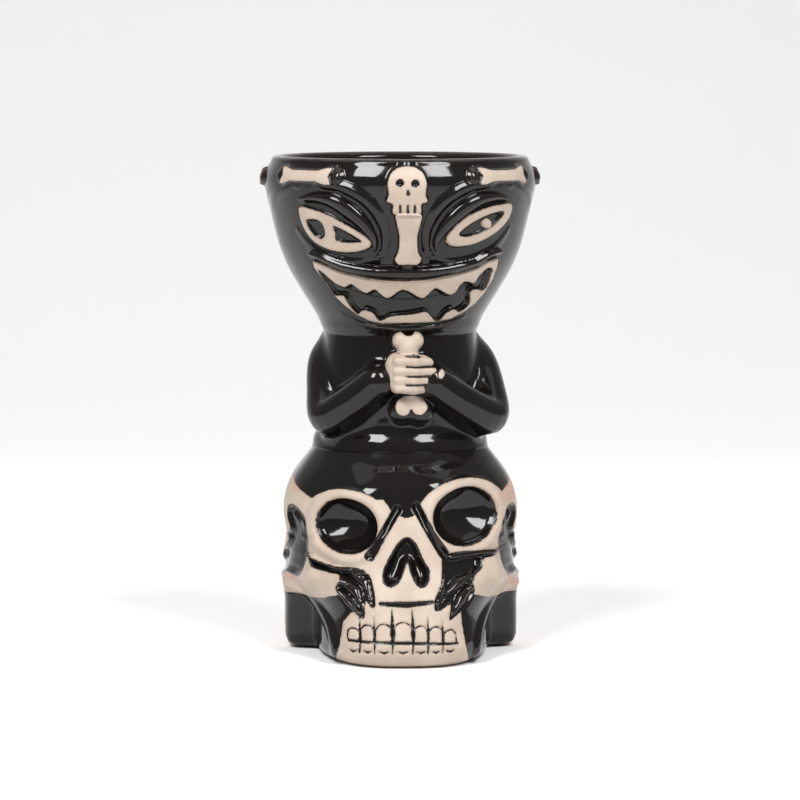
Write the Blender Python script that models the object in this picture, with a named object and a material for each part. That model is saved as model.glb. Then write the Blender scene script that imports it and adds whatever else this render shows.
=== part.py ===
"""Tiki mug: a drinking cup in the shape of a grinning head, on a torso that grips a bone, on a skull.

The mug is built the way a potter assembles it before firing: three hollow sections (head cup, torso and
skull base) stacked and luted with slip, then arms, a hand, a bone and thin pressed reliefs luted on top.
A slip seam is a gap of SEAM between two solids.

Frame: metres, +Z up, origin on the cup's axis at the base plane, the face towards -Y.
Shapes are written in millimetres and turned into metres when a mesh is made.
"""

import math

import bmesh
import bpy
from mathutils import Matrix, Vector

MM = 0.001

# Driving dimensions, in millimetres.
HEIGHT = 163.0
NECK_Z = 104.5
WAIST_Z = 66.0
RIM_HALF_WIDTH = 44.5
WALL = 4.4
SEAM = 0.3

# The rolled lip of the cup: its height, how far its edges fall below the top, and how far they are set in.
LIP_HEIGHT = 2.4
LIP_FALL = 0.9
LIP_INSET = 0.6

# The head cup stops short of the seam below and of the lip above.
HEAD_LOW = NECK_Z + SEAM / 2
HEAD_HIGH = HEIGHT - LIP_HEIGHT
HEAD_SEGMENTS = 56
HEAD_RINGS = 15
HEAD_INSIDE_HEIGHTS = (HEAD_HIGH, 150, 140, 131, 122, 113, HEAD_LOW)

# Bones below the rim: (place, degrees from the front, half length in degrees, height).
RIM_BONES = [("front", 45.0, 14.0, 157.2), ("side", 101.0, 11.5, 156.2), ("back", 162.0, 12.5, 155.6)]
RIM_BONE_RELIEF = 2.4
RIM_BONE_KNOB = 3.2
RIM_BONE_WAIST = 2.5

# Outline of a rim bone: (share of its half length, swell from its waist to its knob).
RIM_BONE_SHAPE = [
    (-1.0, 0.7), (-0.92, 1.0), (-0.72, 0.9), (-0.4, 0.0), (0.4, 0.0), (0.72, 0.9), (0.92, 1.0), (1.0, 0.7),
]

# Half width of the head cup against height; depth follows from DEPTH_RATIO.
HEAD_PROFILE = [
    (NECK_Z, 24.8), (108, 26.4), (113, 29.4), (119, 33.2), (126, 37.0),
    (133, 39.8), (140, 41.8), (147, 43.1), (153, 43.9), (159, RIM_HALF_WIDTH),
]
DEPTH_RATIO_NECK = 0.95
DEPTH_RATIO_RIM = 1.035

# (height, half width, half depth) of the torso, waist first.
TORSO_PROFILE = [
    (WAIST_Z, 29.2, 27.2), (69, 28.8, 26.8), (73, 27.2, 25.2), (86, 26.8, 24.9), (97, 26.0, 24.2),
    (NECK_Z, 25.0, 23.6),
]
TORSO_SEGMENTS = 40

# (height, half width, depth behind the axis, then how far the jaw corners reach forward and how square
# they are, then the half width, the reach and the squareness of the face)
SKULL_PROFILE = [
    (0.0, 36.5, 19.0, 12.5, 4.0, 27.0, 54.5, 2.8),
    (2.5, 38.0, 22.0, 13.5, 6.5, 28.5, 57.0, 2.8),
    (6.0, 38.4, 24.4, 14.0, 6.5, 29.0, 58.2, 2.8),
    (11.0, 38.5, 26.2, 14.5, 6.5, 29.0, 56.8, 2.7),
    (17.0, 38.6, 28.2, 16.0, 5.0, 30.0, 54.0, 2.6),
    (22.0, 39.4, 30.0, 20.0, 3.0, 34.0, 52.0, 2.4),
    (27.0, 40.0, 31.4, 26.0, 2.4, 38.0, 49.6, 2.2),
    (32.0, 38.6, 32.8, 30.0, 2.2, 38.4, 46.6, 2.1),
    (38.0, 37.8, 33.7, 34.0, 2.1, 37.6, 43.8, 2.05),
    (45.0, 38.8, 33.8, 36.0, 2.0, 38.6, 41.4, 2.0),
    (51.0, 38.1, 32.9, 35.0, 2.0, 37.9, 39.0, 2.0),
    (56.5, 36.2, 31.0, 33.0, 2.0, 36.0, 36.4, 2.0),
    (61.0, 33.4, 28.4, 30.6, 2.0, 33.0, 33.2, 2.0),
    (64.0, 31.0, 27.0, 28.6, 2.0, 30.8, 30.0, 2.0),
    (WAIST_Z, 29.4, 26.0, 27.0, 2.0, 29.2, 28.2, 2.0),
]
SKULL_SEGMENTS = 60

# The face meets the jaw corners in a fillet this deep, which fades out towards the sides of the skull.
SKULL_FILLET = 2.5
SKULL_FILLET_FADE = 0.3

# (height, half width, depth behind the axis, depth ahead of it) of the chamber inside the skull.
SKULL_CHAMBER = [
    (5.0, 20.0, 12.0, 27.0), (9.0, 27.0, 17.0, 34.0), (18.0, 29.5, 21.0, 36.0), (30.0, 31.0, 23.5, 31.0),
    (44.0, 30.4, 24.0, 23.6), (54.0, 28.0, 22.6, 21.6), (61.0, 24.0, 20.4, 20.4), (WAIST_Z, 21.4, 19.8, 19.8),
]

# Hollows on each side of the skull: (name, centre, half sizes, tilt about Y in radians), given for +X.
SKULL_HOLLOWS = [
    ("socket", (19.5, -37.0, 45.5), (9.0, 9.5, 8.2), 0.0),
    ("nostril", (3.6, -49.0, 31.5), (3.0, 6.0, 6.8), -0.35),
    ("cheek", (27.0, -39.8, 19.0), (6.0, 8.0, 8.0), 0.5),
    ("temple", (44.0, -20.0, 35.0), (8.5, 9.0, 5.0), 0.0),
]

# Valley that sets the face back from the sides of the cup: (x, z) along one side, mirrored on the other.
FACE_EDGE = [(30.0, 152.5), (37.5, 146.6), (39.2, 138.2), (36.2, 126.2), (30.6, 116.6), (23.0, 106.4)]
VALLEY_DEPTH = 2.2
VALLEY_WIDTH = 5.0

# A relief across its width: (share of the width, share of its height). Its two ends are lower, by RELIEF_END,
# and its back reaches RELIEF_ROOT under the wall's surface before it is cut to fit.
RELIEF_SECTION = [(0.0, 0.45), (0.25, 1.0), (0.75, 1.0), (1.0, 0.45)]
RELIEF_END = 0.6
RELIEF_ROOT = 2.0

# Reliefs of the face, as the (x, z) of their two edges, one row after another.
FOREHEAD_SKULL = [
    ((-3.0, 160.2), (3.0, 160.2)), ((-5.2, 158.2), (5.2, 158.2)), ((-5.9, 154.8), (5.9, 154.8)),
    ((-5.6, 151.0), (5.6, 151.0)), ((-4.6, 148.4), (4.6, 148.4)), ((-3.6, 146.6), (3.6, 146.6)),
    ((-3.5, 145.2), (3.5, 145.2)),
]
FOREHEAD_SKULL_RELIEF = 2.6
NOSE_BONE = [
    ((-3.6, 144.7), (3.6, 144.7)), ((-3.4, 141.0), (3.4, 141.0)), ((-2.8, 136.0), (2.8, 136.0)),
    ((-3.0, 131.5), (3.0, 131.5)), ((-3.7, 128.6), (3.7, 128.6)), ((-3.0, 127.0), (3.0, 127.0)),
]
NOSE_BONE_RELIEF = 3.0
EYE = [
    ((31.2, 143.0), (31.0, 145.0)), ((28.4, 139.4), (28.8, 145.6)), ((24.6, 136.4), (25.2, 144.6)),
    ((20.6, 134.6), (21.2, 142.6)), ((16.6, 133.9), (17.2, 140.2)), ((13.0, 134.6), (13.2, 137.0)),
]
EYE_RELIEF = 2.4
EYELID = [
    ((31.6, 146.0), (31.0, 147.4)), ((27.6, 146.2), (27.4, 148.6)), ((22.6, 144.8), (22.0, 148.0)),
    ((18.0, 142.6), (16.8, 145.6)), ((14.0, 139.6), (12.6, 141.6)), ((12.0, 136.6), (10.8, 137.6)),
]
EYELID_RELIEF = 2.2
BROW = [
    ((30.6, 149.0), (29.6, 150.0)), ((25.0, 149.8), (24.4, 151.4)), ((18.4, 148.4), (17.2, 151.0)),
    ((12.8, 145.0), (11.0, 148.0)), ((9.4, 140.6), (7.4, 142.4)), ((8.2, 135.4), (6.6, 135.4)),
]
BROW_RELIEF = 1.6

# The grin: its middle, how far its corners rise, and the teeth that hang from the lip and stand on the jaw.
MOUTH_HALF_WIDTH = 28.6
MOUTH_STEPS = 14
LIP_MIDDLE_Z = 122.2
LIP_CORNER_RISE = 7.6
LIP_THICKNESS = 2.8
LIP_RELIEF = 3.2
UPPER_GUM = 3.9
UPPER_POINT = 1.3
UPPER_GAP = -0.7
UPPER_TEETH_RELIEF = 2.8
JAW_MIDDLE_Z = 107.9
JAW_CORNER_RISE = 19.6
LOWER_GUM = 1.9
LOWER_POINT = 1.0
LOWER_GAP = -0.6
LOWER_TEETH_RELIEF = 1.6

# Arms as balls, (centre, radius), from shoulder to elbow and from elbow to wrist. The figure's left elbow
# stands out further than its right one.
RIGHT_UPPER_ARM = [((-23.8, 4.2, 97.6), 5.8), ((-24.9, -4.0, 88.0), 6.4), ((-23.9, -14.2, 78.0), 6.8)]
RIGHT_FOREARM = [((-23.9, -14.2, 78.0), 6.8), ((-17.8, -21.4, 81.6), 6.0), ((-7.6, -26.4, 88.8), 5.2)]
LEFT_UPPER_ARM = [((25.4, 4.2, 97.6), 6.0), ((27.8, -4.0, 88.0), 6.6), ((28.2, -14.2, 78.0), 6.9)]
LEFT_FOREARM = [((28.2, -14.2, 78.0), 6.9), ((20.0, -21.8, 81.8), 6.0), ((7.8, -26.4, 88.8), 5.2)]

# The held bone stands upright before the chest: (height, radius).
BONE_X = 1.6
BONE_Y = -26.6
BONE_PROFILE = [
    (74.8, 2.4), (76.0, 4.6), (79.4, 5.6), (82.0, 4.6), (84.2, 2.7), (92.0, 2.5), (98.2, 2.7),
    (99.8, 4.0), (102.0, 4.6), (103.6, 3.2),
]
BONE_SIDES = 12
BONE_ROOM = 6.0

# The fist: four fingers one above the other round the bone.
HAND_LOW = 86.4
FINGERS = 4
FINGER = 3.05
KNUCKLE = 0.9
KNUCKLE_EDGE = 0.8
HAND_REACH = 10.2
CHANNEL_RADIUS = 3.1
CHANNEL_LENGTH = 30.0

# A cutter runs this far past what it cuts.
CUTTER_OVERRUN = 4.0

# Short steps for reading the slope of a surface, in radians and millimetres, and the number of readings.
ANGLE_STEP = 0.01
HEIGHT_STEP = 0.2
READINGS = 12

# (sign of x, whose side it is): the figure's right is at -X.
SIDES = [(-1, "right"), (1, "left")]

BLACK_GLAZE = (0.012, 0.011, 0.011)
BARE_CLAY = (0.70, 0.56, 0.45)


def interpolate(stations, position):
    """Linear reading of a list of (position, value, value...) rows, as a tuple of values."""
    if position <= stations[0][0]:
        return stations[0][1:]
    for low, high in zip(stations, stations[1:]):
        if position <= high[0]:
            share = (position - low[0]) / (high[0] - low[0])
            return tuple(a + (b - a) * share for a, b in zip(low[1:], high[1:]))
    return stations[-1][1:]


def ellipse_radius(half_width, half_depth, angle):
    """Distance from the centre to an ellipse, at an angle from the front (-Y) towards +X."""
    return 1 / math.hypot(math.sin(angle) / half_width, math.cos(angle) / half_depth)


def distance_to_path(point, path):
    """Distance in the plane from a point to a polyline."""
    nearest = math.inf
    for start, end in zip(path, path[1:]):
        step = (end[0] - start[0], end[1] - start[1])
        along = (point[0] - start[0]) * step[0] + (point[1] - start[1]) * step[1]
        share = max(0.0, min(1.0, along / (step[0] ** 2 + step[1] ** 2)))
        gap = math.hypot(point[0] - start[0] - share * step[0], point[1] - start[1] - share * step[1])
        nearest = min(nearest, gap)
    return nearest


def head_radius(angle, z):
    """Outside of the head cup without its reliefs: an oval bowl with the valley round the face."""
    (half_width,) = interpolate(HEAD_PROFILE, z)
    rise = (z - NECK_Z) / (HEIGHT - NECK_Z)
    ratio = DEPTH_RATIO_NECK + (DEPTH_RATIO_RIM - DEPTH_RATIO_NECK) * rise
    radius = ellipse_radius(half_width, half_width * ratio, angle)
    if math.cos(angle) > 0:
        gap = distance_to_path((abs(radius * math.sin(angle)), z), FACE_EDGE)
        radius -= VALLEY_DEPTH * math.exp(-((gap / VALLEY_WIDTH) ** 2))
    return radius


def torso_radius(angle, z):
    half_width, half_depth = interpolate(TORSO_PROFILE, z)
    return ellipse_radius(half_width, half_depth, angle)


def squircle_radius(half_width, half_depth, power, angle):
    """Distance from the centre to an oval that gets squarer as the power rises above 2."""
    across = abs(math.sin(angle)) / half_width
    forward = abs(math.cos(angle)) / half_depth
    return (across**power + forward**power) ** (-1 / power)


def skull_radius(angle, z):
    """Outside of the skull: an oval braincase with square jaw corners, and a face that reaches forward."""
    row = interpolate(SKULL_PROFILE, z)
    half_width, back, corner_depth, corner_power = row[:4]
    face_width, face_reach, face_power = row[4:]
    if math.cos(angle) < ANGLE_STEP:
        return ellipse_radius(half_width, back, angle)
    corners = squircle_radius(half_width, corner_depth, corner_power, angle)
    face = squircle_radius(face_width, face_reach, face_power, angle)
    fillet = SKULL_FILLET * min(1.0, math.cos(angle) / SKULL_FILLET_FADE)
    overlap = max(0.0, fillet - abs(corners - face)) / fillet
    return max(corners, face) + overlap * overlap * fillet / 4


def chamber_radius(angle, z):
    """Wall of the chamber inside the skull."""
    half_width, behind, ahead = interpolate(SKULL_CHAMBER, z)
    return ellipse_radius(half_width, ahead if math.cos(angle) > 0 else behind, angle)


def ring(radius_at, z, segments, inset=0.0):
    """Points, in millimetres, of a level ring of a section, anticlockwise from above."""
    points = []
    for i in range(segments):
        angle = 2 * math.pi * i / segments
        radius = radius_at(angle, z) - inset
        points.append((radius * math.sin(angle), -radius * math.cos(angle), z))
    return points


def new_object(name, mesh_builder, material):
    """A named object whose mesh is made by mesh_builder(bm), scaled from millimetres to metres."""
    bm = bmesh.new()
    mesh_builder(bm)
    bmesh.ops.scale(bm, vec=(MM, MM, MM), verts=bm.verts)
    bmesh.ops.recalc_face_normals(bm, faces=bm.faces)
    mesh = bpy.data.meshes.new(name)
    bm.to_mesh(mesh)
    bm.free()
    mesh.shade_smooth()
    mesh.set_sharp_from_angle(angle=math.radians(40))
    mesh.materials.append(material)
    thing = bpy.data.objects.new(name, mesh)
    bpy.context.scene.collection.objects.link(thing)
    return thing


def bridge_rings(bm, rings, loop_round=False, cap_ends=False):
    """Joins rings of equal length, in order, with quads."""
    loops = [[bm.verts.new(point) for point in points] for points in rings]
    pairs = list(zip(loops, loops[1:]))
    if loop_round:
        pairs.append((loops[-1], loops[0]))
    count = len(loops[0])
    for lower, upper in pairs:
        for i in range(count):
            j = (i + 1) % count
            bm.faces.new((lower[i], lower[j], upper[j], upper[i]))
    if cap_ends:
        bm.faces.new(list(reversed(loops[0])))
        bm.faces.new(loops[-1])


def glaze(name, colour, roughness):
    material = bpy.data.materials.new(name)
    material.use_nodes = True
    shader = material.node_tree.nodes["Principled BSDF"]
    shader.inputs["Base Color"].default_value = (*colour, 1)
    shader.inputs["Roughness"].default_value = roughness
    shader.inputs["Metallic"].default_value = 0.0
    return material


def head_outside(grow, low, high):
    """Level rings of the head cup's outside, grown outwards by a margin."""
    heights = [low + (high - low) * i / (HEAD_RINGS - 1) for i in range(HEAD_RINGS)]
    return [ring(head_radius, z, HEAD_SEGMENTS, -grow) for z in heights]


def make_head_cup(material):
    """The bowl, open at the rim and at the neck."""
    def build(bm):
        lip = []
        for inset, fall in ((LIP_INSET, LIP_FALL), (WALL / 2, 0.0), (WALL - LIP_INSET, LIP_FALL)):
            lip.append([(x, y, z - fall) for x, y, z in ring(head_radius, HEIGHT, HEAD_SEGMENTS, inset)])
        inner = [ring(head_radius, z, HEAD_SEGMENTS, WALL) for z in HEAD_INSIDE_HEIGHTS]
        bridge_rings(bm, head_outside(0.0, HEAD_LOW, HEAD_HIGH) + lip + inner, loop_round=True)

    return new_object("head_cup", build, material)


def head_cutter():
    """The head cup's outside, SEAM larger, which shapes the backs of the reliefs."""
    def build(bm):
        rings = head_outside(SEAM, HEAD_LOW, HEAD_HIGH)
        above = [(x, y, HEIGHT + CUTTER_OVERRUN) for x, y, _ in rings[-1]]
        below = [(x, y, HEAD_LOW - CUTTER_OVERRUN) for x, y, _ in rings[0]]
        bridge_rings(bm, [below] + rings + [above], cap_ends=True)

    return hide_tool(new_object("head_cutter", build, None))


def torso_rings(inset, low, high):
    heights = [low] + [row[0] for row in TORSO_PROFILE[1:-1]] + [high]
    return [ring(torso_radius, z, TORSO_SEGMENTS, inset) for z in heights]


def make_torso(material):
    """The open tube between the head cup and the skull."""
    def build(bm):
        low, high = WAIST_Z + SEAM / 2, NECK_Z - SEAM / 2
        rings = torso_rings(0.0, low, high) + list(reversed(torso_rings(WALL, low, high)))
        bridge_rings(bm, rings, loop_round=True)

    return new_object("torso", build, material)


def ellipsoid_cutter(name, centre, half_sizes, tilt_y=0.0):
    """A hidden ellipsoid, in millimetres, that a Boolean takes out of the skull."""
    bpy.ops.mesh.primitive_uv_sphere_add(segments=16, ring_count=10, radius=1.0)
    cutter = bpy.context.object
    cutter.name = name
    cutter.scale = Vector(half_sizes) * MM
    cutter.location = Vector(centre) * MM
    cutter.rotation_euler = (0.0, tilt_y, 0.0)
    return hide_tool(cutter)


def hide_tool(thing):
    """Marks an object as a tool for a Boolean, which is no part of the mug."""
    thing.hide_render = True
    thing.display_type = "WIRE"
    return thing


def boolean(thing, tool, operation):
    modifier = thing.modifiers.new(f"{operation.lower()}_{tool.name}", "BOOLEAN")
    modifier.operation = operation
    modifier.solver = "EXACT"
    modifier.object = tool


def cut(thing, tool):
    boolean(thing, tool, "DIFFERENCE")


def join(thing, tool):
    boolean(thing, tool, "UNION")


def make_skull_base(material):
    """The hollow skull that the mug stands on, with its sockets, nose and cheek hollows cut in."""
    def build(bm):
        heights = [row[0] for row in SKULL_PROFILE]
        heights[-1] -= SEAM / 2
        outer = [ring(skull_radius, z, SKULL_SEGMENTS) for z in heights]
        depths = [WAIST_Z - SEAM / 2] + [row[0] for row in reversed(SKULL_CHAMBER[:-1])]
        inner = [ring(chamber_radius, z, SKULL_SEGMENTS) for z in depths]
        bridge_rings(bm, outer + inner, cap_ends=True)

    skull = new_object("skull_base", build, material)
    for side, word in SIDES:
        for name, (x, y, z), half_sizes, tilt in SKULL_HOLLOWS:
            cut(skull, ellipsoid_cutter(f"{word}_{name}_cutter", (side * x, y, z), half_sizes, side * tilt))


def surface_point(radius_at, angle, z):
    radius = radius_at(angle, z)
    return Vector((radius * math.sin(angle), -radius * math.cos(angle), z))


def surface_normal(radius_at, angle, z):
    """Outward normal of a section's outside, from two short steps on it."""
    before, after = angle - ANGLE_STEP, angle + ANGLE_STEP
    round_step = surface_point(radius_at, after, z) - surface_point(radius_at, before, z)
    below, above = z - HEIGHT_STEP, z + HEIGHT_STEP
    up_step = surface_point(radius_at, angle, above) - surface_point(radius_at, angle, below)
    return round_step.cross(up_step).normalized()


def angle_at(radius_at, x, z):
    """Angle from the front at which the outside lies at a given x, closed in on by repeated reading."""
    angle = 0.0
    for _ in range(READINGS):
        angle = math.asin(max(-1.0, min(1.0, x / radius_at(angle, z))))
    return angle


def relief(name, stations, height, material, cutter, by_angle=False):
    """A pressed relief on the head cup, SEAM clear of it.

    stations run along the relief as ((x, z), (x, z)), its two edges. With by_angle, x is an angle in
    degrees from the front. The face is domed to the given height, and the cutter shapes the back.
    """
    def place(x, z, lift):
        angle = math.radians(x) if by_angle else angle_at(head_radius, x, z)
        return surface_point(head_radius, angle, z) + surface_normal(head_radius, angle, z) * lift

    def build(bm):
        front_rows, back_rows = [], []
        last = len(stations) - 1
        for number, (first, second) in enumerate(stations):
            end = RELIEF_END if number in (0, last) else 1.0
            front, back = [], []
            for share, dome in RELIEF_SECTION:
                x = first[0] + (second[0] - first[0]) * share
                z = first[1] + (second[1] - first[1]) * share
                front.append(bm.verts.new(place(x, z, SEAM + height * dome * end)))
                back.append(bm.verts.new(place(x, z, -RELIEF_ROOT)))
            front_rows.append(front)
            back_rows.append(back)
        columns = len(RELIEF_SECTION)
        f, b = front_rows, back_rows
        for i in range(last):
            for j in range(columns - 1):
                bm.faces.new((f[i][j], f[i + 1][j], f[i + 1][j + 1], f[i][j + 1]))
                bm.faces.new((b[i][j], b[i][j + 1], b[i + 1][j + 1], b[i + 1][j]))
            for j in (0, columns - 1):
                bm.faces.new((f[i][j], b[i][j], b[i + 1][j], f[i + 1][j]))
        for i in (0, last):
            for j in range(columns - 1):
                bm.faces.new((f[i][j], f[i][j + 1], b[i][j + 1], b[i][j]))

    cut(new_object(name, build, material), cutter)


def mirrored(stations):
    return [((-a[0], a[1]), (-b[0], b[1])) for a, b in stations]


def rim_bone_stations(centre, half_length, z):
    """A dog-bone outline along the rim, in degrees and millimetres."""
    stations = []
    for along, swell in RIM_BONE_SHAPE:
        half = RIM_BONE_WAIST + (RIM_BONE_KNOB - RIM_BONE_WAIST) * swell
        x = centre + half_length * along
        stations.append(((x, z - half), (x, z + half)))
    return stations


def make_rim_bones(cutter, material):
    """Six bones below the rim, three each side of the forehead skull."""
    for where, degrees, half_length, z in RIM_BONES:
        for side, word in SIDES:
            stations = rim_bone_stations(side * degrees, half_length, z)
            relief(f"rim_bone_{where}_{word}", stations, RIM_BONE_RELIEF, material, cutter, by_angle=True)


def make_mouth(cutter, clay, black):
    """The lip, with the teeth that hang from it and those that stand on the jaw."""
    lip, upper, lower = [], [], []
    for i in range(MOUTH_STEPS + 1):
        share = 2 * i / MOUTH_STEPS - 1
        x = MOUTH_HALF_WIDTH * share
        taper = max(0.08, 1 - abs(share) ** 5)
        lip_z = LIP_MIDDLE_Z + LIP_CORNER_RISE * share**2
        lip.append(((x, lip_z), (x, lip_z + 1.0 + (LIP_THICKNESS - 1.0) * taper)))
        gum = lip_z - 0.5
        tooth = UPPER_GUM + (UPPER_POINT if i % 2 == 0 else UPPER_GAP)
        upper.append(((x, gum - tooth * taper), (x, gum)))
        jaw = JAW_MIDDLE_Z + JAW_CORNER_RISE * abs(share) ** 2.6
        tooth = LOWER_GUM + (LOWER_POINT if i % 2 == 1 else LOWER_GAP)
        lower.append(((x * 0.97, jaw), (x * 0.945, jaw + 0.9 + tooth * taper)))
    relief("upper_lip", lip, LIP_RELIEF, black, cutter)
    relief("upper_teeth", upper, UPPER_TEETH_RELIEF, clay, cutter)
    relief("lower_teeth", lower[1:-1], LOWER_TEETH_RELIEF, clay, cutter)


def make_face(cutter, clay, black):
    """Forehead skull, nose bone, eyes, lids and brows, all luted on the head cup."""
    relief("forehead_skull", FOREHEAD_SKULL, FOREHEAD_SKULL_RELIEF, clay, cutter)
    relief("nose_bone", NOSE_BONE, NOSE_BONE_RELIEF, clay, cutter)
    for name, stations, height, material in (
        ("eye", EYE, EYE_RELIEF, clay),
        ("eyelid", EYELID, EYELID_RELIEF, black),
        ("brow", BROW, BROW_RELIEF, black),
    ):
        relief("left_" + name, stations, height, material, cutter)
        relief("right_" + name, mirrored(stations), height, material, cutter)


def hull_of_balls(bm, balls):
    """Adds the tight skin round some balls, given as (centre, radius) in millimetres."""
    for centre, radius in balls:
        at = Matrix.Translation(centre)
        bmesh.ops.create_icosphere(bm, subdivisions=2, radius=radius, matrix=at)
    bmesh.ops.delete(bm, geom=list(bm.edges), context="EDGES_FACES")
    skin = bmesh.ops.convex_hull(bm, input=bm.verts)
    spare = skin["geom_interior"] + skin["geom_unused"]
    inside = {item for item in spare if isinstance(item, bmesh.types.BMVert)}
    bmesh.ops.delete(bm, geom=list(inside), context="VERTS")


def torso_cutter():
    """The torso's outside, SEAM larger, which shapes the backs of the pieces on it."""
    def build(bm):
        rings = torso_rings(-SEAM, WAIST_Z - CUTTER_OVERRUN, NECK_Z + CUTTER_OVERRUN)
        bridge_rings(bm, rings, cap_ends=True)

    return hide_tool(new_object("torso_cutter", build, None))


def make_arm(name, upper_arm, forearm, cutters, material):
    """An upper arm joined to a forearm at the elbow, fitted to the torso and to the fist."""
    arm = new_object(name, lambda bm: hull_of_balls(bm, upper_arm), material)
    lower = new_object(f"{name}_forearm_tool", lambda bm: hull_of_balls(bm, forearm), material)
    join(arm, hide_tool(lower))
    for cutter in cutters:
        cut(arm, cutter)


def upright_circle(radius, z, sides):
    """Points of a level circle round the axis of the held bone."""
    turns = [2 * math.pi * k / sides for k in range(sides)]
    return [(BONE_X + radius * math.cos(t), BONE_Y + radius * math.sin(t), z) for t in turns]


def make_held_bone(cutter, material):
    """The bone in the fist: a shaft with a knob at each end, held upright before the chest."""
    rings = [upright_circle(radius, z, BONE_SIDES) for z, radius in BONE_PROFILE]
    bone = new_object("held_bone", lambda bm: bridge_rings(bm, rings, cap_ends=True), material)
    cut(bone, cutter)


def bone_cutter():
    """Room for the held bone between the ends of the forearms."""
    low, high = BONE_PROFILE[0][0] - CUTTER_OVERRUN, BONE_PROFILE[-1][0] + CUTTER_OVERRUN
    rings = [upright_circle(BONE_ROOM, z, BONE_SIDES) for z in (low, high)]
    return hide_tool(new_object("bone_cutter", lambda bm: bridge_rings(bm, rings, cap_ends=True), None))


def hand_rings(grow):
    """Level rings of the fist, grown outwards by a margin: each finger swells between two creases."""
    rows = [(HAND_LOW - grow, 0.0)]
    for number in range(FINGERS):
        base = HAND_LOW + FINGER * number
        rows += [(base + KNUCKLE_EDGE, KNUCKLE), (base + FINGER - KNUCKLE_EDGE, KNUCKLE)]
        if number < FINGERS - 1:
            rows.append((base + FINGER, 0.0))
    rows.append((HAND_LOW + FINGERS * FINGER + grow, 0.0))
    rings = []
    for z, bulge in rows:
        reach = HAND_REACH - KNUCKLE * abs((z - HAND_LOW) / (FINGERS * FINGER / 2) - 1) + grow
        back, heel, out = -4.4 - grow, -4.6 - grow - bulge * 0.3, bulge + grow
        rings.append([
            (back, -22.0, z), (heel, -28.0, z), (-3.4 - out * 0.5, -31.6 - out, z), (0.0, -33.4 - out, z),
            (4.0, -33.2 - out, z), (8.0, -31.2 - out, z), (reach, -28.0, z), (reach, -22.0, z),
        ])
    return rings


def make_hand(cutter, material):
    """The fist, open at the back for the shaft of the bone."""
    hand = new_object("gripping_hand", lambda bm: bridge_rings(bm, hand_rings(0.0), cap_ends=True), material)
    middle = HAND_LOW + FINGERS * FINGER / 2
    rings = [upright_circle(CHANNEL_RADIUS, middle + end * CHANNEL_LENGTH / 2, BONE_SIDES) for end in (-1, 1)]
    channel = new_object("bone_channel_cutter", lambda bm: bridge_rings(bm, rings, cap_ends=True), None)
    cut(hand, hide_tool(channel))
    cut(hand, cutter)


def hand_cutter():
    """The fist's outside, SEAM larger, which shapes the ends of the forearms."""
    tool = new_object("hand_cutter", lambda bm: bridge_rings(bm, hand_rings(SEAM), cap_ends=True), None)
    return hide_tool(tool)


def main():
    for thing in list(bpy.data.objects):
        bpy.data.objects.remove(thing)
    black = glaze("black_glaze", BLACK_GLAZE, 0.08)
    clay = glaze("bare_clay", BARE_CLAY, 0.55)
    make_head_cup(black)
    make_torso(black)
    make_skull_base(clay)
    wall = head_cutter()
    make_rim_bones(wall, clay)
    make_face(wall, clay, black)
    make_mouth(wall, clay, black)
    chest = torso_cutter()
    cutters = [chest, hand_cutter(), bone_cutter()]
    make_arm("right_arm", RIGHT_UPPER_ARM, RIGHT_FOREARM, cutters, black)
    make_arm("left_arm", LEFT_UPPER_ARM, LEFT_FOREARM, cutters, black)
    make_held_bone(chest, clay)
    make_hand(chest, clay)


main()
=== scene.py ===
"""Tiki mug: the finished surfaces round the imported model.

Every section is a height field wrapped round the mug's axis: a radius for each angle and height, from an
oval profile, the modelled relief and a glaze line. Lengths in this file are millimetres until a mesh is made.
An angle is measured from the face (-Y) towards the figure's left (+X): x = r sin(angle), y = -r cos(angle).
"""

import math
from functools import reduce
from operator import itemgetter

import bpy
import numpy as np
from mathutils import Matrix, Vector


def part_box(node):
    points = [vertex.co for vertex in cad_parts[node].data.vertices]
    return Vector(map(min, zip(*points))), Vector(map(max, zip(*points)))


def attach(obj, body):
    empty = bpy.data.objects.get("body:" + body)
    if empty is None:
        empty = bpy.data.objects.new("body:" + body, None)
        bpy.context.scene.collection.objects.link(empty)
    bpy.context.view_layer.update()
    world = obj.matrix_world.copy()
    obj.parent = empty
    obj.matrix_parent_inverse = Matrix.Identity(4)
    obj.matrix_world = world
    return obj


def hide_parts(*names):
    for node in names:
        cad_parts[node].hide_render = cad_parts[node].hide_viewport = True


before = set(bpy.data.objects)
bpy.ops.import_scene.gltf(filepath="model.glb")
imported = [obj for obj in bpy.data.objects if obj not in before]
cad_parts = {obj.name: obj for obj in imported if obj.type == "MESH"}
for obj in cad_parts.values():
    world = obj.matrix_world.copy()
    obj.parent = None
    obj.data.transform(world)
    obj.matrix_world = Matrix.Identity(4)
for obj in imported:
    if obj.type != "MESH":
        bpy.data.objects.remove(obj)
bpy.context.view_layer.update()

MM = 0.001
RIM_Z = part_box("head_cup")[1][2] / MM
NECK_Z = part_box("head_cup")[0][2] / MM
WALL = 4.4
BEYOND = 200.0  # a place that no mark reaches
NOWHERE = 9.0  # a distance that keeps a relief or a brush mark off one side of the mug
INSIDE_GLAZE = -4.0  # how far inside bare clay a wall lies that is black all over
BARE = 3.0  # and one that the glaze never reaches


# ---- curves and outlines

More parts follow.
